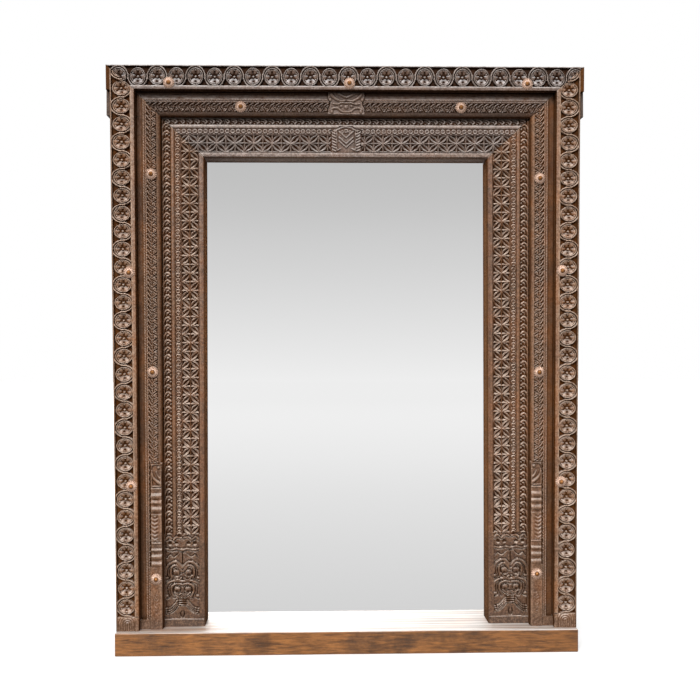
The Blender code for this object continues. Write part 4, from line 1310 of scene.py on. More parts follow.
@dataclass
class InnerBoard(CarvedBoard):
    """A board of the inner frame: sight edge, stars, rings, a bead and leaf tongues."""

    chamfer: float = 0.003
    fillet_end: float = 0.016
    fillet_face: float = 0.0009
    groove_end: float = 0.019
    groove_depth: float = 0.0052
    star_end: float = 0.079
    star_face: float = 0.0022
    jamb_stars: Rhythm = Rhythm(0.0612, 1.1951)
    head_stars: Rhythm = Rhythm(0.0651)
    parting_depth: float = 0.006
    ring_start: float = 0.081
    ring_end: float = 0.1
    ring_face: float = 0.0012
    rings: Rhythm = Rhythm(0.019)
    bead_end: float = 0.115
    bead_fall: float = 0.006
    hook_face: float = 0.001
    hooks: Rhythm = Rhythm(0.0262)
    quirk: float = 0.002
    quirk_depth: float = 0.0075
    # Painted shade in the head's stars under the ledge above.
    head_star_shade: float = 0.3
    steps: tuple[float, ...] = (0.0015, 0.0033, 0.003, 0.0015, 0.002, 0.0015, 0.0022, 0.00155, 0.002, 0.012)
    step_along: float = 0.002
    # The inner board's returns take the full painted light.
    return_light: float = 1.0

    @property
    def hook_end(self) -> float:
        """Where the leaf tongues end."""
        return self.shown - self.quirk

    def bands(self) -> Sequence[Band]:
        """The end and the step of each band across."""
        stars = self.chamfer, self.fillet_end, self.groove_end, self.star_end
        tongues = self.ring_start, self.ring_end, self.bead_end, self.hook_end
        return tuple(zip((*stars, *tongues, self.shown, self.shown + self.layer.lap), self.steps))

    def overlays(self) -> Sequence[Overlay]:
        """The foot panel on a jamb, or the arched panel on the head."""
        return (FootPanel(),) if self.upright else (ArchPlaque(),)

    def depth(self, across: Grid, along: Grid) -> Grid:
        """The sight edge, the stars, the rings, the bead and the tongues, with the lap."""
        rhythm = self.jamb_stars if self.upright else self.head_stars
        stars = StarChips(rhythm, self.star_end - self.groove_end)
        rings = RingChain(self.rings, self.ring_end - self.ring_start)
        hooks = HookRow(self.hooks, self.hook_end - self.bead_end)
        bead_half = (self.bead_end - self.ring_end) / 2
        bead = self.bead_fall * (1 - crown(across - self.ring_end - bead_half, bead_half))
        depth = np.where(across < self.chamfer, self.chamfer - across, self.fillet_face)
        sections = (
            (self.fillet_end, self.groove_depth),
            (self.groove_end, self.star_face - stars.relief(across - self.groove_end, along)),
            (self.star_end, self.parting_depth),
            (self.ring_start, self.ring_face - rings.relief(across - self.ring_start, along)),
            (self.ring_end, bead),
            (self.bead_end, self.hook_face - hooks.relief(across - self.bead_end, along)),
            (self.hook_end, self.quirk_depth),
            (self.shown, 0.0),
        )
        for start, section in sections:
            depth = np.where(across > start, section, depth)
        return depth

    def grime_and_shade(self, across: Grid, depth: Grid) -> Grid:
        """Painted shade in the head's stars, which lie under its ledges; none on the jambs."""
        starred = between(across, self.groove_end, self.star_end)
        return np.where(starred & (not self.upright), self.head_star_shade, 0.0)


@dataclass
class Boss:
    """A nail with a domed, fluted head and a pointed middle."""

    node: str
    radius: float = 0.02
    flutes: int = 18
    rim: float = 0.002
    rim_share: float = 0.4
    shoulder: float = 0.0066
    cone_radius: float = 0.0074
    cone_height: float = 0.016
    cone_curve: float = 0.92
    cone_shade: float = 0.0012
    step_out: float = 0.0004
    step_down: float = 0.0006
    step_flute: float = 0.1
    dome_curve: float = 1.6
    dome_flute: float = 0.25
    flute_side: float = 0.055
    flute_depth: float = 0.002
    flute_hollow: float = 0.6
    seat_lift: float = 0.0002
    under_share: float = 0.96
    shank: float = 0.0025
    tip: float = 0.004
    turns: int = 144
    CONE_SHARES = (0.06, 0.14, 0.28, 0.44, 0.6, 0.76, 0.9, 1.0)
    DOME_SHARES = (0.1, 0.22, 0.36, 0.5, 0.64, 0.78, 0.9, 0.97, 1.0)

    def profile(self) -> list[tuple[float, float, float]]:
        """Radius, height and how deep the flutes are, from the tip to the rim."""
        rows = [(0.0, self.cone_height, 0.0)]
        for share in self.CONE_SHARES:
            lift = (self.cone_height - self.shoulder) * (1 - share) ** self.cone_curve
            rows.append((self.cone_radius * share, self.shoulder + lift, 0.0))
        start, high = self.cone_radius + self.step_out, self.shoulder - self.step_down
        rows.append((start, high, self.step_flute))
        for share in self.DOME_SHARES:
            fall = (high - self.rim) * share**self.dome_curve
            flute = self.dome_flute + (1 - self.dome_flute) * share
            rows.append((start + (self.radius - start) * share, high - fall, flute))
        rows.append((self.radius, self.rim * self.rim_share, 1.0))
        return rows

    def build(self) -> Piece:
        """The nail as one closed solid, in place of its plain node."""
        low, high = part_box(self.node)
        x, z = (low.x + high.x) / 2, (low.z + high.z) / 2
        seat = low.y + self.cone_height
        turn = np.arange(self.turns) * 2 * np.pi / self.turns
        lean = float(chance(round(x * 1000), round(z * 1000))) * np.pi
        wave = np.cos(self.flutes * turn + lean)
        rows, hollow, proud = [], [], []
        for radius, height, share in self.profile():
            reach = radius * (1 + self.flute_side * share * (wave - 1))
            groove = share * (1 - wave) / 2
            rows.append((reach, np.maximum(height - self.flute_depth * groove, self.seat_lift)))
            near_cone = math.exp(-(((radius - self.cone_radius) / self.cone_shade) ** 2))
            hollow.append(np.clip(groove * self.flute_hollow + near_cone, 0, 1))
            proud.append(np.full(self.turns, float(share > 0)))
        length = high.y - seat - self.tip
        under = (self.radius * self.under_share, 0.0), (self.shank, 0.0), (self.shank, -length)
        for radius, height in (*under, (0.0, -length - self.tip)):
            rows.append((np.full(self.turns, radius), np.full(self.turns, height)))
            hollow.append(np.full(self.turns, self.flute_hollow))
            proud.append(np.zeros(self.turns))
        points = [(x + reach * np.cos(turn), seat - lift, z + reach * np.sin(turn)) for reach, lift in rows]
        points = np.concatenate([np.stack(ring, axis=-1) for ring in points])
        grid = np.arange(len(rows) * self.turns).reshape(len(rows), self.turns)
        after = np.roll(grid, -1, axis=1)
        quads = np.stack([grid[:-1], grid[1:], after[1:], after[:-1]], axis=-1).reshape(-1, 4)
        marks = {"hollow": np.concatenate(hollow), "proud": np.concatenate(proud)}
        piece = mesh_object(f"fluted_{self.node}", points, [quads], marks)
        self.close_tips(piece)
        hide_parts(self.node)
        return piece

    @staticmethod
    def close_tips(piece: Piece) -> None:
        """Draws the rings of points on the axis together into one point each."""
        work = bmesh.new()
        work.from_mesh(piece.data)
        bmesh.ops.remove_doubles(work, verts=work.verts, dist=TOUCHING)
        bmesh.ops.recalc_face_normals(work, faces=work.faces)
        work.to_mesh(piece.data)
        work.free()
        piece.data.set_sharp_from_angle(angle=SHARP_ANGLE)


@dataclass
class WornSill:
    """The plain sill, with eased edges and the small hollows of long use."""

    node: str = "sill"
    step: float = 0.006
    easing: float = 0.0032
    easing_change: float = 0.35
    easing_size: float = 0.09
    easing_seed: float = 4.0
    rim: tuple[float, ...] = (0.0008, 0.0018, 0.0032, 0.0044)
    sunk: float = 0.0007
    sunk_size: float = 0.05
    sunk_seed: float = 8.0
    front: float = 0.004
    trodden: float = 0.07
    trodden_share: float = 0.5
    rub: float = 0.005
    LEAST = 1e-9

    def build(self) -> Piece:
        """The sill as one closed solid, in place of its plain node."""
        low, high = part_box(self.node)
        rim = np.array(self.rim)
        lines = []
        for start, end in zip(low, high):
            line = np.linspace(start, end, max(2, math.ceil((end - start) / self.step)) + 1)
            lines.append(np.unique(np.concatenate([line, line[0] + rim, line[-1] - rim])))
        points, faces = shell(lines)
        points = self.eased(points, np.array(low), np.array(high))
        marks = {"hollow": np.zeros(len(points)), "proud": self.rubbed(points, low, high)}
        piece = mesh_object("worn_sill", points, [faces], marks)
        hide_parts(self.node)
        LOG.info("%s: %d faces", piece.name, len(piece.data.polygons))
        return piece

    def eased(self, points: Grid, low: Grid, high: Grid) -> Grid:
        """The points with the edges rounded and worn, always inside the box."""
        x, y, z = points.T
        change = self.easing_change * uneven(x, z, self.easing_size, self.easing_seed)
        round_by = self.easing * (1 + change)[:, None]
        core = np.clip(points, low + round_by, high - round_by)
        away = points - core
        reach = np.linalg.norm(away, axis=1, keepdims=True)
        outer = core + away / np.maximum(reach, self.LEAST) * np.minimum(reach, round_by)
        sunk = np.clip(uneven(x, z + y, self.sunk_size, self.sunk_seed), 0, 1) * self.sunk
        outer[:, 1] += np.where(y < low[1] + self.front, sunk, 0)
        trodden = (z > high[2] - TOUCHING) & (y < (low[1] + high[1]) / 2 - self.trodden)
        outer[:, 2] -= np.where(trodden, self.trodden_share * sunk, 0)
        return outer

    def rubbed(self, points: Grid, low: Vector, high: Vector) -> Grid:
        """How rubbed each point is: the front edges most."""
        near_top = np.clip(1 - (high[2] - points[:, 2]) / self.rub, 0, 1)
        near_front = np.clip(1 - (points[:, 1] - low[1]) / self.rub, 0, 1)
        near_foot = np.clip(1 - (points[:, 2] - low[2]) / self.rub, 0, 1)
        return np.clip(near_top * near_front + near_foot * near_front, 0, 1)


def shell(lines: Sequence[Grid]) -> tuple[Grid, Grid]:
    """The closed skin of a box that is cut at given places along each axis.

    Args:
        lines: the places along x, y and z, in order.

    Returns:
        The points and the four-sided faces.
    """
    shape = tuple(len(line) for line in lines)
    numbers = -np.ones(shape, dtype=np.int64)
    skin = np.zeros(shape, dtype=bool)
    for axis in range(3):
        ends = [slice(None)] * 3
        for end in (0, -1):
            ends[axis] = end
            skin[tuple(ends)] = True
    numbers[skin] = np.arange(skin.sum())
    found = np.argwhere(skin)
    points = np.stack([lines[axis][found[:, axis]] for axis in range(3)], axis=-1)
    faces = []
    for axis in range(3):
        for end, turned in ((0, True), (-1, False)):
            side = np.take(numbers, end, axis=axis)
            corners = side[:-1, :-1], side[1:, :-1], side[1:, 1:], side[:-1, 1:]
            quads = np.stack(corners, axis=-1).reshape(-1, 4)
            if turned != (axis == 1):
                quads = quads[:, ::-1]
            faces.append(quads)
    return points, np.concatenate(faces)


@dataclass(frozen=True)
class Noise:
    """What a noise looks like."""

    scale: float
    detail: float = 4.0
    roughness: float = 0.55
    distortion: float = 0.0


class Tree:
    """A node tree under work, with short ways to add nodes and join them."""

    def __init__(self, tree: Nodes) -> None:
        """Takes the tree to work on."""
        self.tree = tree

    def node(self, kind: str, **settings: object) -> Node:
        """A new node with its settings made."""
        made = self.tree.nodes.new(kind)
        for name, value in settings.items():
            setattr(made, name, value)
        return made

    def feed(self, socket: Socket, value: object) -> None:
        """Joins a socket to the input, or sets the input's own value."""
        if isinstance(value, Socket):
            self.tree.links.new(value, socket)
        elif isinstance(value, tuple) and socket.type == "RGBA" and len(value) == 3:
            socket.default_value = (*value, 1.0)
        else:
            socket.default_value = value

    def maths(self, operation: str, first: object, second: object = 0.0, clamp: bool = False) -> Socket:
        """The result of one operation on two values."""
        made = self.node("ShaderNodeMath", operation=operation, use_clamp=clamp)
        self.feed(made.inputs[0], first)
        self.feed(made.inputs[1], second)
        return made.outputs[0]

    def times(self, first: object, second: object, clamp: bool = False) -> Socket:
        """The product of two values."""
        return self.maths("MULTIPLY", first, second, clamp)

    def plus(self, first: object, second: object, clamp: bool = False) -> Socket:
        """The sum of two values."""
        return self.maths("ADD", first, second, clamp)

    def spread(self, value: object, low: float, high: float, first: float = 0.0, last: float = 1.0) -> Socket:
        """A value mapped from one range to another, and kept inside it."""
        made = self.node("ShaderNodeMapRange", clamp=True)
        for socket, given in zip(made.inputs[:5], (value, low, high, first, last)):
            self.feed(socket, given)
        return made.outputs[0]

    def curve(self, value: object, points: Sequence[Point]) -> Socket:
        """A value read off a smooth curve."""
        made = self.node("ShaderNodeFloatCurve")
        line = made.mapping.curves[0]
        for place, height in points[1:-1]:
            line.points.new(place, height)
        line.points[0].location = points[0]
        line.points[-1].location = points[-1]
        made.mapping.update()
        self.feed(made.inputs["Value"], value)
        return made.outputs[0]

    def blend(self, share: object, first: object, second: object, mode: str = "MIX") -> Socket:
        """Two colours blended by a share."""
        made = self.node("ShaderNodeMix", data_type="RGBA", blend_type=mode)
        self.feed(made.inputs["Factor"], share)
        self.feed(made.inputs[6], first)
        self.feed(made.inputs[7], second)
        return made.outputs[2]

    def noise(self, place: object, look: Noise) -> Socket:
        """Noise at a place, from 0 to 1."""
        made = self.node("ShaderNodeTexNoise")
        self.feed(made.inputs["Vector"], place)
        self.feed(made.inputs["Scale"], look.scale)
        self.feed(made.inputs["Detail"], look.detail)
        self.feed(made.inputs["Roughness"], look.roughness)
        self.feed(made.inputs["Distortion"], look.distortion)
        return made.outputs[0]

    def place(self) -> Socket:
        """The object's own coordinates."""
        return self.node("ShaderNodeTexCoord").outputs["Object"]

    def stretched(self, stretch: object) -> Socket:
        """The object's own coordinates, multiplied axis by axis."""
        made = self.node("ShaderNodeVectorMath", operation="MULTIPLY")
        self.feed(made.inputs[0], self.place())
        self.feed(made.inputs[1], stretch)
        return made.outputs[0]

    def normal(self) -> Socket:
        """The direction that the surface faces."""
        return self.node("ShaderNodeNewGeometry").outputs["Normal"]

    def axes(self, vector: Socket) -> list[Socket]:
        """The parts of a vector along x, y and z."""
        made = self.node("ShaderNodeSeparateXYZ")
        self.feed(made.inputs[0], vector)
        return list(made.outputs)

    def mark(self, name: str) -> Socket:
        """A value that the mesh holds for each of its points."""
        return self.node("ShaderNodeAttribute", attribute_name=name).outputs["Fac"]

    def either(self, share: Socket, first: Socket, second: Socket) -> Socket:
        """The first shader where the share is 0, and the second where it is 1."""
        made = self.node("ShaderNodeMixShader")
        for socket, given in zip(made.inputs, (share, first, second)):
            self.feed(socket, given)
        return made.outputs[0]

    def group(self, effect: Nodes, **values: object) -> dict[str, Socket]:
        """An effect placed in this tree."""
        made = self.node("ShaderNodeGroup", node_tree=effect)
        for name, value in values.items():
            self.feed(made.inputs[name], value)
        return {socket.name: socket for socket in made.outputs}


class Effect:
    """A shader node group that is built once and used by several finishes."""

    def __init__(self, name: str, inputs: dict[str, object], outputs: Sequence[str]) -> None:
        """Makes the group. Three numbers are a colour's default, but Stretch is a vector."""
        self.group = bpy.data.node_groups.new(name, "ShaderNodeTree")
        for label, value in inputs.items():
            kind = "NodeSocketFloat"
            if isinstance(value, tuple):
                kind = "NodeSocketVector" if label == "Stretch" else "NodeSocketColor"
            socket = self.group.interface.new_socket(name=label, in_out="INPUT", socket_type=kind)
            socket.default_value = (*value, 1.0) if kind == "NodeSocketColor" else value
        for label in outputs:
            kind = "NodeSocketColor" if label == "Colour" else "NodeSocketFloat"
            self.group.interface.new_socket(name=label, in_out="OUTPUT", socket_type=kind)
        self.tree = Tree(self.group)
        self.given = self.tree.node("NodeGroupInput").outputs
        self.result = self.tree.node("NodeGroupOutput").inputs


@dataclass(frozen=True)
class GrainEffect:
    """Wood grain: long streaks, fine pores and broad patches."""

    streak: Noise = Noise(14.0, 6.0, 0.65, 0.35)
    streak_range: Range = (0.32, 0.68)
    pore: Noise = Noise(110.0, 3.0, 0.6)
    pore_range: Range = (0.6, 0.72)
    patch: Noise = Noise(5.5, 3.0, 0.5)
    patch_range: Range = (0.35, 0.65)

    def build(self) -> Nodes:
        """The effect as a node group."""
        inputs = {"Stretch": Grain.ALONG_Z.value, "Scale": self.streak.scale}
        effect = Effect("wood_grain", inputs, ("Streak", "Pore", "Patch"))
        tree = effect.tree
        place = tree.stretched(effect.given["Stretch"])
        streak = tree.noise(place, replace(self.streak, scale=effect.given["Scale"]))
        tree.feed(effect.result["Streak"], tree.spread(streak, *self.streak_range))
        tree.feed(effect.result["Pore"], tree.spread(tree.noise(place, self.pore), *self.pore_range))
        patch = tree.noise(tree.place(), self.patch)
        tree.feed(effect.result["Patch"], tree.spread(patch, *self.patch_range))
        return effect.group


@dataclass(frozen=True)
class AgeAndShadeEffect:
    """Age on carved wood: dark hollows, which are partly grime and partly painted shade, rubbed high places,
    and streaks and patches between.
    """

    speckle: Noise = Noise(260.0, 3.0, 0.6)
    speckle_height: float = 0.5
    blotch: Noise = Noise(16.0, 5.0, 0.65)
    warm_range: Range = (0.42, 0.6)
    warm: float = 0.62
    patch: float = 0.45
    rub_range: Range = (0.3, 0.7, 0.55, 1.25)
    rub: float = 0.6
    sunk_range: Range = (0.25, 0.75, 1.25, 0.8)
    sunk: float = 0.75
    sunk_roughness: float = 0.25
    pore: float = 0.5
    pore_height: float = 0.6
    streak_height: float = 0.5
    fleck: Noise = Noise(150.0, 2.0, 0.8)
    dark_flecks: Range = (0.52, 0.36, 0.0, 0.46)
    pale_flecks: Range = (0.49, 0.64, 0.0, 0.28)
    pale_range: Range = (0.5, 0.1)
    roughness: Range = (0.0, 1.0, 0.44, 0.36)
    MARKS = {"Hollow": 0.0, "Proud": 0.0, "Foot": 0.0, "Wear": 1.0, "Streak": 0.5, "Patch": 0.5, "Pore": 0.0}
    TONES = {
        "Deep": (0.05, 0.02, 0.01),
        "Body": (0.18, 0.1, 0.06),
        "Shade": (0.12, 0.06, 0.03),
        "Rubbed": (0.45, 0.33, 0.26),
        "Warm": (0.25, 0.1, 0.03),
        "Low": (0.08, 0.05, 0.04),
    }

    def build(self) -> Nodes:
        """The effect as a node group."""
        effect = Effect("carved_age_and_shade", self.MARKS | self.TONES, ("Colour", "Roughness", "Height"))
        tree, given = effect.tree, effect.given
        speckle = tree.noise(tree.place(), self.speckle)
        body = self.flecked(tree, given, self.coloured(tree, given, speckle))
        tree.feed(effect.result["Colour"], body)
        gloss = tree.spread(given["Proud"], *self.roughness)
        sunk = tree.times(given["Hollow"], self.sunk_roughness)
        tree.feed(effect.result["Roughness"], tree.plus(gloss, sunk))
        streak = tree.times(given["Streak"], self.streak_height)
        height = tree.plus(tree.times(speckle, self.speckle_height), streak)
        pore = tree.times(given["Pore"], self.pore_height)
        tree.feed(effect.result["Height"], tree.maths("SUBTRACT", height, pore))
        return effect.group

    def coloured(self, tree: Tree, given: bpy.types.NodeOutputs, speckle: Socket) -> Socket:
        """The wood's colour without its flecks."""
        broken = tree.spread(speckle, *self.rub_range)
        body = tree.blend(given["Streak"], given["Shade"], given["Body"])
        warm = tree.spread(tree.noise(tree.place(), self.blotch), *self.warm_range)
        body = tree.blend(tree.times(warm, self.warm), body, given["Warm"])
        body = tree.blend(tree.times(given["Patch"], self.patch), body, given["Shade"], "MULTIPLY")
        # The rubbed tone is wear on proud places, and painted light on board returns, whose proud share is
        # set as painted light.
        rub = tree.times(given["Proud"], tree.times(broken, given["Wear"]))
        body = tree.blend(tree.times(rub, self.rub, clamp=True), body, given["Rubbed"])
        # Painted shade: the hollows darken towards the deep tone, partly as grime in them.
        sunk = tree.times(given["Hollow"], tree.spread(speckle, *self.sunk_range))
        body = tree.blend(tree.times(sunk, self.sunk, clamp=True), body, given["Deep"])
        body = tree.blend(tree.times(given["Pore"], self.pore), body, given["Deep"])
        return tree.blend(given["Foot"], body, given["Low"])

    def flecked(self, tree: Tree, given: bpy.types.NodeOutputs, body: Socket) -> Socket:
        """The colour with small dark flecks, and with pale ones outside the hollows."""
        fleck = tree.noise(tree.place(), self.fleck)
        body = tree.blend(tree.spread(fleck, *self.dark_flecks), body, given["Deep"])
        pale = tree.spread(fleck, *self.pale_flecks)
        pale = tree.times(pale, tree.spread(given["Hollow"], *self.pale_range))
        return tree.blend(pale, body, given["Rubbed"])


@dataclass(frozen=True)
class DustAndHighlightEffect:
    """Pale dust and dry wax on faces that look up, partly painted highlight: the pale tone also stands for
    the sheen of light from above.
    """

    patch: Noise = Noise(60.0, 4.0, 0.6)
    patch_range: Range = (0.3, 0.6)
    upwards: Range = (0.12, 0.75)
    INPUTS = {
        "Colour": (0.2, 0.1, 0.05),
        "DustAndHighlight": (0.55, 0.5, 0.46),
        "Amount": 0.5,
        "Stretch": (1.0, 1.0, 1.0),
    }

    def build(self) -> Nodes:
        """The effect as a node group."""
        effect = Effect("dust_and_painted_highlight", self.INPUTS, ("Colour",))
        tree, given = effect.tree, effect.given
        facing = tree.spread(tree.axes(tree.normal())[2], *self.upwards)
        patchy = tree.spread(tree.noise(tree.stretched(given["Stretch"]), self.patch), *self.patch_range)
        share = tree.times(tree.times(facing, patchy), given["Amount"])
        tree.feed(effect.result["Colour"], tree.blend(share, given["Colour"], given["DustAndHighlight"]))
        return effect.group


@dataclass(frozen=True)
class Effects:
    """The shared shader groups."""

    grain: Nodes
    age: Nodes
    dust_and_highlight: Nodes


def new_material(name: str) -> tuple[Material, Tree]:
    """An empty material and its tree."""
    material = bpy.data.materials.new(name)
    material.use_nodes = True
    material.node_tree.nodes.clear()
    return material, Tree(material.node_tree)


def new_finish(name: str) -> tuple[Material, Tree, Node]:
    """A material with its tree and its Principled shader joined to the output."""
    material, tree = new_material(name)
    shader = tree.node("ShaderNodeBsdfPrincipled")
    tree.feed(tree.node("ShaderNodeOutputMaterial").inputs["Surface"], shader.outputs[0])
    return material, tree, shader


def bumped(tree: Tree, shader: Node, height: object, strength: float, distance: float) -> None:
    """Feeds a height through a Bump node to the shader's normal. The distance is in metres."""
    bump = tree.node("ShaderNodeBump")
    tree.feed(bump.inputs["Strength"], strength)
    tree.feed(bump.inputs["Distance"], distance)
    tree.feed(bump.inputs["Height"], height)
    tree.feed(shader.inputs["Normal"], bump.outputs[0])


def linear(value: int) -> float:
    """One channel of a screen colour, by the standard curve of such colours."""
    share = value / 255
    return share / 12.92 if share <= 0.04045 else ((share + 0.055) / 1.055) ** 2.4


def rgb(red: int, green: int, blue: int) -> Colour:
    """A colour as seen on screen, as the linear values that shaders take."""
    return linear(red), linear(green), linear(blue)


@dataclass(frozen=True)
class CarvedFinish:
    """Old carved hardwood: dark in the hollows, partly from grime and partly as painted shade, rubbed pale on
    the high places, with dust and painted highlight on faces that look up.
    """

    name: str
    grain: Grain
    deep: Colour
    shade: Colour
    body: Colour
    rubbed: Colour
    warm: Colour
    dust_and_highlight: float = 0.35
    wear: float = 1.0
    foot: float = 0.0
    dust_and_highlight_colour: Colour = rgb(198, 188, 182)
    low: Colour = rgb(76, 54, 39)
    grain_scale: float = 9.0
    panel_range: Range = (0.42, 0.36)
    floor_range: Range = (0.13, 0.1, 0.0, 0.45)
    return_range: Range = (-0.06, -0.3)
    bare_top_range: Range = (0.98, 0.9)
    gloss: Range = (0.3, 0.8, 0.5, 0.05)
    bump: float = 0.55
    bump_height: float = 0.0012

    def foot_share(self, tree: Tree) -> Socket:
        """How far the wood is darkened, which grows towards the floor."""
        height = tree.axes(tree.place())[2]
        panel = tree.spread(height, *self.panel_range, 0.0, self.foot)
        return tree.plus(panel, tree.spread(height, *self.floor_range), clamp=True)

    def fronting(self, tree: Tree) -> Socket:
        """1 where the wood faces the front, down to 0 on the boards' returns."""
        return tree.spread(tree.axes(tree.normal())[1], *self.return_range)

    def dust_and_highlight_share(self, tree: Tree) -> Socket:
        """The share of dust and painted highlight, with none on the boards' flat upper edges."""
        return tree.spread(tree.axes(tree.normal())[2], *self.bare_top_range, 0.0, self.dust_and_highlight)

    def material(self, effects: Effects) -> Material:
        """The finish as a material."""
        made, tree, shader = new_finish(self.name)
        grain = tree.group(effects.grain, Stretch=self.grain.value, Scale=self.grain_scale)
        hollow = tree.mark("hollow")
        tones = {"Deep": self.deep, "Body": self.body, "Shade": self.shade, "Rubbed": self.rubbed}
        tones |= {"Warm": self.warm, "Low": self.low, "Foot": self.foot_share(tree)}
        marks = {"Hollow": hollow, "Proud": tree.mark("proud"), "Wear": self.wear}
        aged_and_shaded = tree.group(effects.age, **grain, **tones, **marks)
        # Dust and painted highlight on the faces that look up.
        dust_and_highlight = {"DustAndHighlight": self.dust_and_highlight_colour, "Amount": self.dust_and_highlight_share(tree)}
        dusted_and_lit = tree.group(effects.dust_and_highlight, Colour=aged_and_shaded["Colour"], **dust_and_highlight)
        tree.feed(shader.inputs["Base Color"], dusted_and_lit["Colour"])
        tree.feed(shader.inputs["Roughness"], aged_and_shaded["Roughness"])
        gloss = tree.times(tree.spread(hollow, *self.gloss), self.fronting(tree))
        tree.feed(shader.inputs["Specular IOR Level"], gloss)
        bumped(tree, shader, aged_and_shaded["Height"], self.bump, self.bump_height)
        return made


@dataclass(frozen=True)
class PlainWoodFinish:
    """Plain wood: grain, a second tone in streaks, and stains."""

    name: str
    grain: Grain
    light: Colour
    dark: Colour
    stain: Colour
    scale: float = 7.0
    stained: float = 0.4
    roughness: float = 0.55
    bump: float = 0.35
    dust_and_highlight: float = 0.0
    dust_and_highlight_colour: Colour = rgb(232, 229, 224)
    dark_end: float = 0.0
    spots: Noise = Noise(7.0, 5.0, 0.6)
    spots_range: Range = (0.5, 0.68)
    pore: float = 0.45
    rub: float = 0.45
    end_range: Range = (0.15, 0.75)
    dust_stretch: tuple[float, float, float] = (0.02, 0.9, 0.02)
    roughness_change: float = 0.08
    bump_height: float = 0.001

    def material(self, effects: Effects) -> Material:
        """The finish as a material."""
        made, tree, shader = new_finish(self.name)
        grain = tree.group(effects.grain, Stretch=self.grain.value, Scale=self.scale)
        tree.feed(shader.inputs["Base Color"], self.coloured(tree, grain, effects))
        low, high = self.roughness - self.roughness_change, self.roughness + self.roughness_change
        tree.feed(shader.inputs["Roughness"], tree.spread(grain["Patch"], 0.0, 1.0, low, high))
        height = tree.maths("SUBTRACT", grain["Streak"], grain["Pore"])
        bumped(tree, shader, height, self.bump, self.bump_height)
        return made

    def coloured(self, tree: Tree, grain: dict[str, Socket], effects: Effects) -> Socket:
        """The wood's colour."""
        colour = tree.blend(grain["Streak"], self.dark, self.light)
        spots = tree.spread(tree.noise(tree.place(), self.spots), *self.spots_range)
        colour = tree.blend(tree.times(spots, self.stained), colour, self.stain)
        colour = tree.blend(tree.times(grain["Pore"], self.pore), colour, self.stain)
        colour = tree.blend(tree.times(tree.mark("proud"), self.rub), colour, self.light)
        end = tree.spread(tree.axes(tree.place())[0], *self.end_range, 0.0, self.dark_end)
        colour = tree.blend(end, colour, self.stain)
        # Dust and painted highlight on the faces that look up, as on the sill's top.
        if not self.dust_and_highlight:
            return colour
        look = {"DustAndHighlight": self.dust_and_highlight_colour, "Amount": self.dust_and_highlight, "Stretch": self.dust_stretch}
        return tree.group(effects.dust_and_highlight, Colour=colour, **look)["Colour"]


@dataclass(frozen=True)
class MetalFinish:
    """Metal that is dulled in its hollows, with one tone on its proud rim and one on the rest."""

    name: str
    rim: Colour
    bright: Colour
    dull: Colour
    roughness: float = 0.34
    metallic: float = 1.0
    spots: Noise = Noise(320.0, 4.0, 0.6)
    spots_range: Range = (0.4, 0.66)
    spotted: float = 0.35
    sunk: float = 0.85
    rim_range: Range = (0.0, 0.4)
    duller: float = 0.3
    bump: float = 0.25
    bump_height: float = 0.0006

    def material(self, effects: Effects) -> Material:
        """The finish as a material."""
        made, tree, shader = new_finish(self.name)
        spots = tree.spread(tree.noise(tree.place(), self.spots), *self.spots_range)
        sunk = tree.times(tree.mark("hollow"), self.sunk)
        share = tree.plus(sunk, tree.times(spots, self.spotted), clamp=True)
        clean = tree.blend(tree.spread(tree.mark("proud"), *self.rim_range), self.bright, self.rim)
        tree.feed(shader.inputs["Base Color"], tree.blend(share, clean, self.dull))
        roughness = tree.spread(share, 0.0, 1.0, self.roughness, self.roughness + self.duller)
        tree.feed(shader.inputs["Roughness"], roughness)
        tree.feed(shader.inputs["Metallic"], self.metallic)
        bumped(tree, shader, spots, self.bump, self.bump_height)
        return made


@dataclass(frozen=True)
class MirrorFinish:
    """Silvered glass, with a faint haze that varies over it."""

    name: str
    tint: Colour
    hazed: Colour = (0.9, 0.9, 0.9)
    haze: float = 0.012
    least_haze: float = 0.5
    cloud: Noise = Noise(3.0, 3.0, 0.5)
    cloud_range: Range = (0.3, 0.7)
    clearest: Range = (0.985, 1.0)

    def material(self, effects: Effects) -> Material:
        """The finish as a material."""
        made, tree, shader = new_finish(self.name)
        cloud = tree.noise(tree.place(), self.cloud)
        worn = tree.spread(cloud, *self.cloud_range, *self.clearest)
        tree.feed(shader.inputs["Base Color"], tree.blend(worn, self.hazed, self.tint))
        haze = tree.spread(cloud, *self.cloud_range, self.haze * self.least_haze, self.haze)
        tree.feed(shader.inputs["Roughness"], haze)
        tree.feed(shader.inputs["Metallic"], 1.0)
        return made


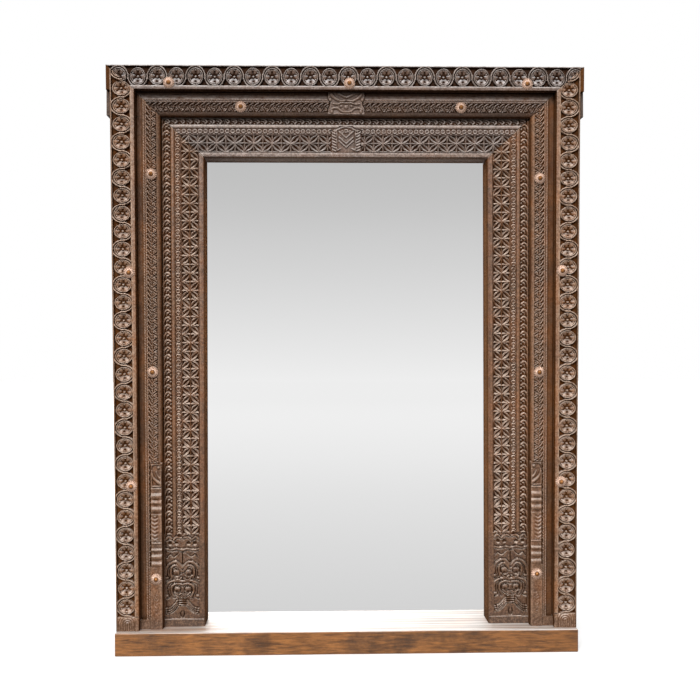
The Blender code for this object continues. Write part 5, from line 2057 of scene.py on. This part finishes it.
@dataclass
class Studio:
    """The floor, the light and the camera. The two shines are what glossy rays find."""

    camera_place: tuple[float, float, float] = (-0.0841, -3.5908, 1.0471)
    camera_lens: float = 52.4
    camera_sensor: float = 36.0
    camera_turn: float = math.radians(-1.531)
    camera_roll: float = math.radians(-0.133)
    lamp_height: float = math.radians(30)
    lamp_swing: float = math.radians(-14)
    lamp_spread: float = math.radians(34)
    lamp_power: float = 3.25
    lamp_distance: float = 6
    room_light: Range = (-0.1, 0.9, 0.05, 0.86)
    room_overhead: Range = (0.35, 0.85, 0.0, 3.2)
    floor_size: float = 60.0
    floor_grey: Range = (0.0, 1.0, 0.78, 0.09)
    floor_white: Range = (0.9, 2.4)
    floor_glow: Span = (0.3, 0.7)
    floor_depth: Range = (0.0, -17.0)
    ROOM_SHINE = ((0.0, 0.81), (0.049, 0.72), (0.096, 0.64), (0.18, 0.53), (0.5, 0.45), (1.0, 0.45))
    FLOOR_SHINE = ((0.0, 0.64), (0.0335, 0.672), (0.0965, 0.716), (0.2, 0.77), (0.412, 0.842), (1.0, 0.862))

    def build(self) -> None:
        """Makes the world, the floor, the lamp and the camera."""
        bpy.context.scene.view_settings.view_transform = "Standard"
        self.light_world()
        self.lay_floor()
        self.hang_lamp()
        self.set_camera()
        LOG.info("studio built")

    def set_camera(self) -> None:
        """The camera, where the photograph was taken from."""
        camera = added("camera", bpy.data.cameras.new("camera"))
        camera.data.lens = self.camera_lens
        camera.data.sensor_width = self.camera_sensor
        camera.location = self.camera_place
        turned = Matrix.Rotation(self.camera_turn, 4, "Z") @ Matrix.Rotation(math.radians(90), 4, "X")
        camera.rotation_euler = (turned @ Matrix.Rotation(self.camera_roll, 4, "Z")).to_euler()
        bpy.context.scene.camera = camera

    def light_world(self) -> None:
        """A white background to the camera, a soft room to reflections, and grey light otherwise."""
        world = bpy.data.worlds.new("studio")
        bpy.context.scene.world = world
        world.use_nodes = True
        world.node_tree.nodes.clear()
        tree = Tree(world.node_tree)
        rays = tree.node("ShaderNodeLightPath").outputs
        up = tree.axes(tree.node("ShaderNodeTexCoord").outputs["Generated"])[2]
        shine = tree.plus(tree.curve(up, self.ROOM_SHINE), tree.spread(up, *self.room_overhead))
        glossy = rays["Is Glossy Ray"]
        grey = tree.times(tree.spread(up, *self.room_light), tree.maths("SUBTRACT", 1.0, glossy))
        mirrored = tree.plus(tree.times(shine, glossy), grey)
        seen = tree.maths("MAXIMUM", rays["Is Camera Ray"], rays["Is Transmission Ray"])
        strength = tree.plus(seen, tree.times(mirrored, tree.maths("SUBTRACT", 1.0, seen)))
        glow = tree.node("ShaderNodeBackground")
        tree.feed(glow.inputs["Color"], (1.0, 1.0, 1.0))
        tree.feed(glow.inputs["Strength"], strength)
        tree.feed(tree.node("ShaderNodeOutputWorld").inputs["Surface"], glow.outputs[0])

    def lay_floor(self) -> None:
        """A plain pale floor that turns white away from the mirror."""
        half = self.floor_size / 2
        corners = [(-half, -half, 0.0), (half, -half, 0.0), (half, half, 0.0), (-half, half, 0.0)]
        mesh = bpy.data.meshes.new("floor")
        mesh.from_pydata(corners, [], [(0, 1, 2, 3)])
        added("floor", mesh)
        material, tree = new_material("pale_floor")
        rays = tree.node("ShaderNodeLightPath").outputs
        place = tree.place()
        matt = tree.node("ShaderNodeBsdfDiffuse")
        bounced = tree.spread(rays["Is Diffuse Ray"], *self.floor_grey)
        tree.feed(matt.inputs["Color"], tree.blend(bounced, (0.0, 0.0, 0.0), (1.0, 1.0, 1.0)))
        far = tree.node("ShaderNodeVectorMath", operation="LENGTH")
        tree.feed(far.inputs[0], place)
        least, rise = self.floor_glow
        white = tree.node("ShaderNodeEmission")
        share = tree.spread(far.outputs["Value"], *self.floor_white)
        tree.feed(white.inputs["Strength"], tree.plus(tree.times(share, rise), least))
        lit = tree.node("ShaderNodeAddShader")
        tree.feed(lit.inputs[0], matt.outputs[0])
        tree.feed(lit.inputs[1], white.outputs[0])
        seen = tree.either(rays["Is Camera Ray"], matt.outputs[0], lit.outputs[0])
        reach = tree.spread(tree.axes(place)[1], *self.floor_depth)
        shine = tree.node("ShaderNodeEmission")
        tree.feed(shine.inputs["Strength"], tree.curve(reach, self.FLOOR_SHINE))
        mirrored = tree.either(rays["Is Glossy Ray"], seen, shine.outputs[0])
        tree.feed(tree.node("ShaderNodeOutputMaterial").inputs["Surface"], mirrored)
        mesh.materials.append(material)

    def hang_lamp(self) -> None:
        """One wide soft lamp, high in front and a little to the left."""
        lamp = added("soft_lamp", bpy.data.lights.new("soft_lamp", "SUN"))
        lamp.data.energy = self.lamp_power
        lamp.data.angle = self.lamp_spread
        level = math.cos(self.lamp_height)
        right, front = level * math.sin(self.lamp_swing), level * math.cos(self.lamp_swing)
        towards = Vector((right, -front, math.sin(self.lamp_height)))
        lamp.location = self.lamp_distance * towards
        lamp.rotation_euler = (-towards).to_track_quat("-Z", "Y").to_euler()


# Where the three nested frames lie
OUTER = Layer("outer", 0.727, 0.08, 1.949, 0.083, face=-0.0635, back=-0.0375, lap=0.0, corner=0.012)
MIDDLE = Layer("middle", 0.645, 0.082, 1.864, 0.085, face=-0.0372, back=-0.0032, lap=0.014)
INNER = Layer("inner", 0.5, 0.145, 1.726, 0.138, face=-0.0029, back=0.0525, lap=0.012)

# The finishes
OUTER_HEAD = CarvedFinish(
    "carved_outer_head", Grain.ALONG_X, deep=rgb(28, 12, 3), shade=rgb(84, 56, 38), body=rgb(118, 89, 71),
    rubbed=rgb(162, 145, 134), warm=rgb(104, 66, 36), dust_and_highlight=0.9, wear=1.2, dust_and_highlight_colour=rgb(224, 219, 218),
)
MIDDLE_HEAD = CarvedFinish(
    "carved_middle_head", Grain.ALONG_X, deep=rgb(34, 16, 4), shade=rgb(80, 52, 32), body=rgb(112, 82, 60),
    rubbed=rgb(150, 126, 110), warm=rgb(108, 64, 28), dust_and_highlight=0.5, wear=0.7,
)
INNER_HEAD = CarvedFinish(
    "carved_inner_head", Grain.ALONG_X, deep=rgb(28, 12, 3), shade=rgb(86, 57, 36), body=rgb(124, 92, 68),
    rubbed=rgb(196, 180, 170), warm=rgb(116, 66, 26), dust_and_highlight=0.66, wear=1.1, dust_and_highlight_colour=rgb(214, 204, 198),
)
OUTER_JAMB = CarvedFinish(
    "carved_outer_jamb", Grain.ALONG_Z, deep=rgb(50, 24, 4), shade=rgb(112, 74, 42), body=rgb(146, 102, 66),
    rubbed=rgb(196, 166, 142), warm=rgb(152, 90, 34), dust_and_highlight=0.66, wear=1.2, foot=0.15,
    dust_and_highlight_colour=rgb(218, 202, 190),
)
MIDDLE_JAMB = CarvedFinish(
    "carved_middle_jamb", Grain.ALONG_Z, deep=rgb(48, 24, 4), shade=rgb(98, 64, 38), body=rgb(136, 96, 64),
    rubbed=rgb(174, 142, 118), warm=rgb(144, 84, 32), dust_and_highlight=0.5, wear=0.8, foot=0.25,
    dust_and_highlight_colour=rgb(206, 192, 180),
)
INNER_JAMB = CarvedFinish(
    "carved_inner_jamb", Grain.ALONG_Z, deep=rgb(32, 14, 3), shade=rgb(86, 53, 28), body=rgb(118, 77, 43),
    rubbed=rgb(168, 132, 104), warm=rgb(134, 76, 28), dust_and_highlight=0.8, wear=0.5, foot=0.62,
    dust_and_highlight_colour=rgb(228, 207, 190),
)
SILL_FINISH = PlainWoodFinish(
    "golden_sill", Grain.ALONG_X, light=rgb(176, 116, 62), dark=rgb(82, 51, 26), stain=rgb(44, 29, 20),
    scale=15.0, stained=0.7, roughness=0.36, bump=0.45, dust_and_highlight=0.95, dust_and_highlight_colour=rgb(214, 208, 202),
    dark_end=0.22,
)
TIMBER_UP = PlainWoodFinish(
    "old_timber_upright", Grain.ALONG_Z, light=rgb(104, 80, 62), dark=rgb(70, 50, 37), stain=rgb(42, 32, 26),
    scale=8.0, stained=0.5, roughness=0.72, bump=0.6,
)
TIMBER_ACROSS = replace(
    TIMBER_UP, name="old_timber_across", grain=Grain.ALONG_X, light=rgb(96, 76, 62), dark=rgb(66, 50, 40),
    stain=rgb(40, 33, 29),
)
BATTEN_UP = PlainWoodFinish(
    "batten_upright", Grain.ALONG_Z, light=rgb(196, 160, 118), dark=rgb(166, 126, 84),
    stain=rgb(120, 86, 56), scale=6.0, stained=0.15, roughness=0.6, bump=0.3,
)
BATTEN_ACROSS = replace(BATTEN_UP, name="batten_across", grain=Grain.ALONG_X)
PLY = PlainWoodFinish(
    "plywood", Grain.ALONG_Z, light=rgb(206, 176, 132), dark=rgb(184, 148, 102), stain=rgb(140, 104, 70),
    scale=4.0, stained=0.12, roughness=0.6, bump=0.2,
)
COPPER = MetalFinish(
    "aged_copper", rim=rgb(212, 178, 156), bright=rgb(180, 120, 62), dull=rgb(66, 36, 16), roughness=0.3,
    metallic=0.45,
)
ZINC = MetalFinish("zinc_steel", rim=rgb(196, 196, 192), bright=rgb(196, 196, 192), dull=rgb(140, 138, 132))
GLASS = MirrorFinish("silvered_glass", (0.985, 0.985, 0.985))


@dataclass
class CarvedFrame:
    """The nine carved boards, three to each nested frame."""

    kinds: tuple[tuple[type[CarvedBoard], Layer, CarvedFinish, CarvedFinish], ...] = (
        (OuterBoard, OUTER, OUTER_HEAD, OUTER_JAMB),
        (MiddleBoard, MIDDLE, MIDDLE_HEAD, MIDDLE_JAMB),
        (InnerBoard, INNER, INNER_HEAD, INNER_JAMB),
    )

    def build(self, effects: Effects) -> None:
        """Builds and dresses every board."""
        for kind, layer, head, jamb in self.kinds:
            across, upright = head.material(effects), jamb.material(effects)
            for member in Member:
                board = kind(layer, member).build()
                board.data.materials.append(across if member is Member.HEAD else upright)


@dataclass
class Bosses:
    """The fifteen bosses."""

    prefix: str = "boss_"

    def build(self, effects: Effects) -> None:
        """Builds and dresses every boss."""
        copper = COPPER.material(effects)
        names = sorted(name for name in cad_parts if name.startswith(self.prefix))
        for name in names:
            Boss(name).build().data.materials.append(copper)
        LOG.info("%d bosses built", len(names))


@dataclass
class KeptParts:
    """The nodes whose solids stay: posts, beams, glass, backing, battens, pegs and screws."""

    RULES = (
        ("screw", ZINC),
        ("mirror_glass", GLASS),
        ("backing_board", PLY),
        ("left_retaining_batten", BATTEN_UP),
        ("right_retaining_batten", BATTEN_UP),
        ("batten", BATTEN_ACROSS),
        ("brace", BATTEN_ACROSS),
        ("post", TIMBER_UP),
        ("", TIMBER_ACROSS),
    )

    def dress(self, effects: Effects) -> None:
        """Gives every kept node its finish."""
        finishes = {finish.name: finish for _, finish in self.RULES}
        materials = {name: finish.material(effects) for name, finish in finishes.items()}
        for name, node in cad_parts.items():
            if node.hide_render:
                continue
            node.data.materials.clear()
            node.data.materials.append(materials[self.finish_of(name).name])
            LOG.info("%s dressed", name)

    def finish_of(self, name: str) -> PlainWoodFinish | MetalFinish | MirrorFinish:
        """The finish of the first rule whose word is in a node's name."""
        return next(finish for word, finish in self.RULES if word in name)


def main() -> None:
    """Builds the sub-assemblies in order."""
    logging.basicConfig(level=logging.INFO, format="%(name)s: %(message)s")
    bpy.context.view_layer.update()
    effects = Effects(GrainEffect().build(), AgeAndShadeEffect().build(), DustAndHighlightEffect().build())
    CarvedFrame().build(effects)
    Bosses().build(effects)
    sill = WornSill().build()
    sill.data.materials.append(SILL_FINISH.material(effects))
    KeptParts().dress(effects)
    Studio().build()


if __name__ == "__main__":
    main()
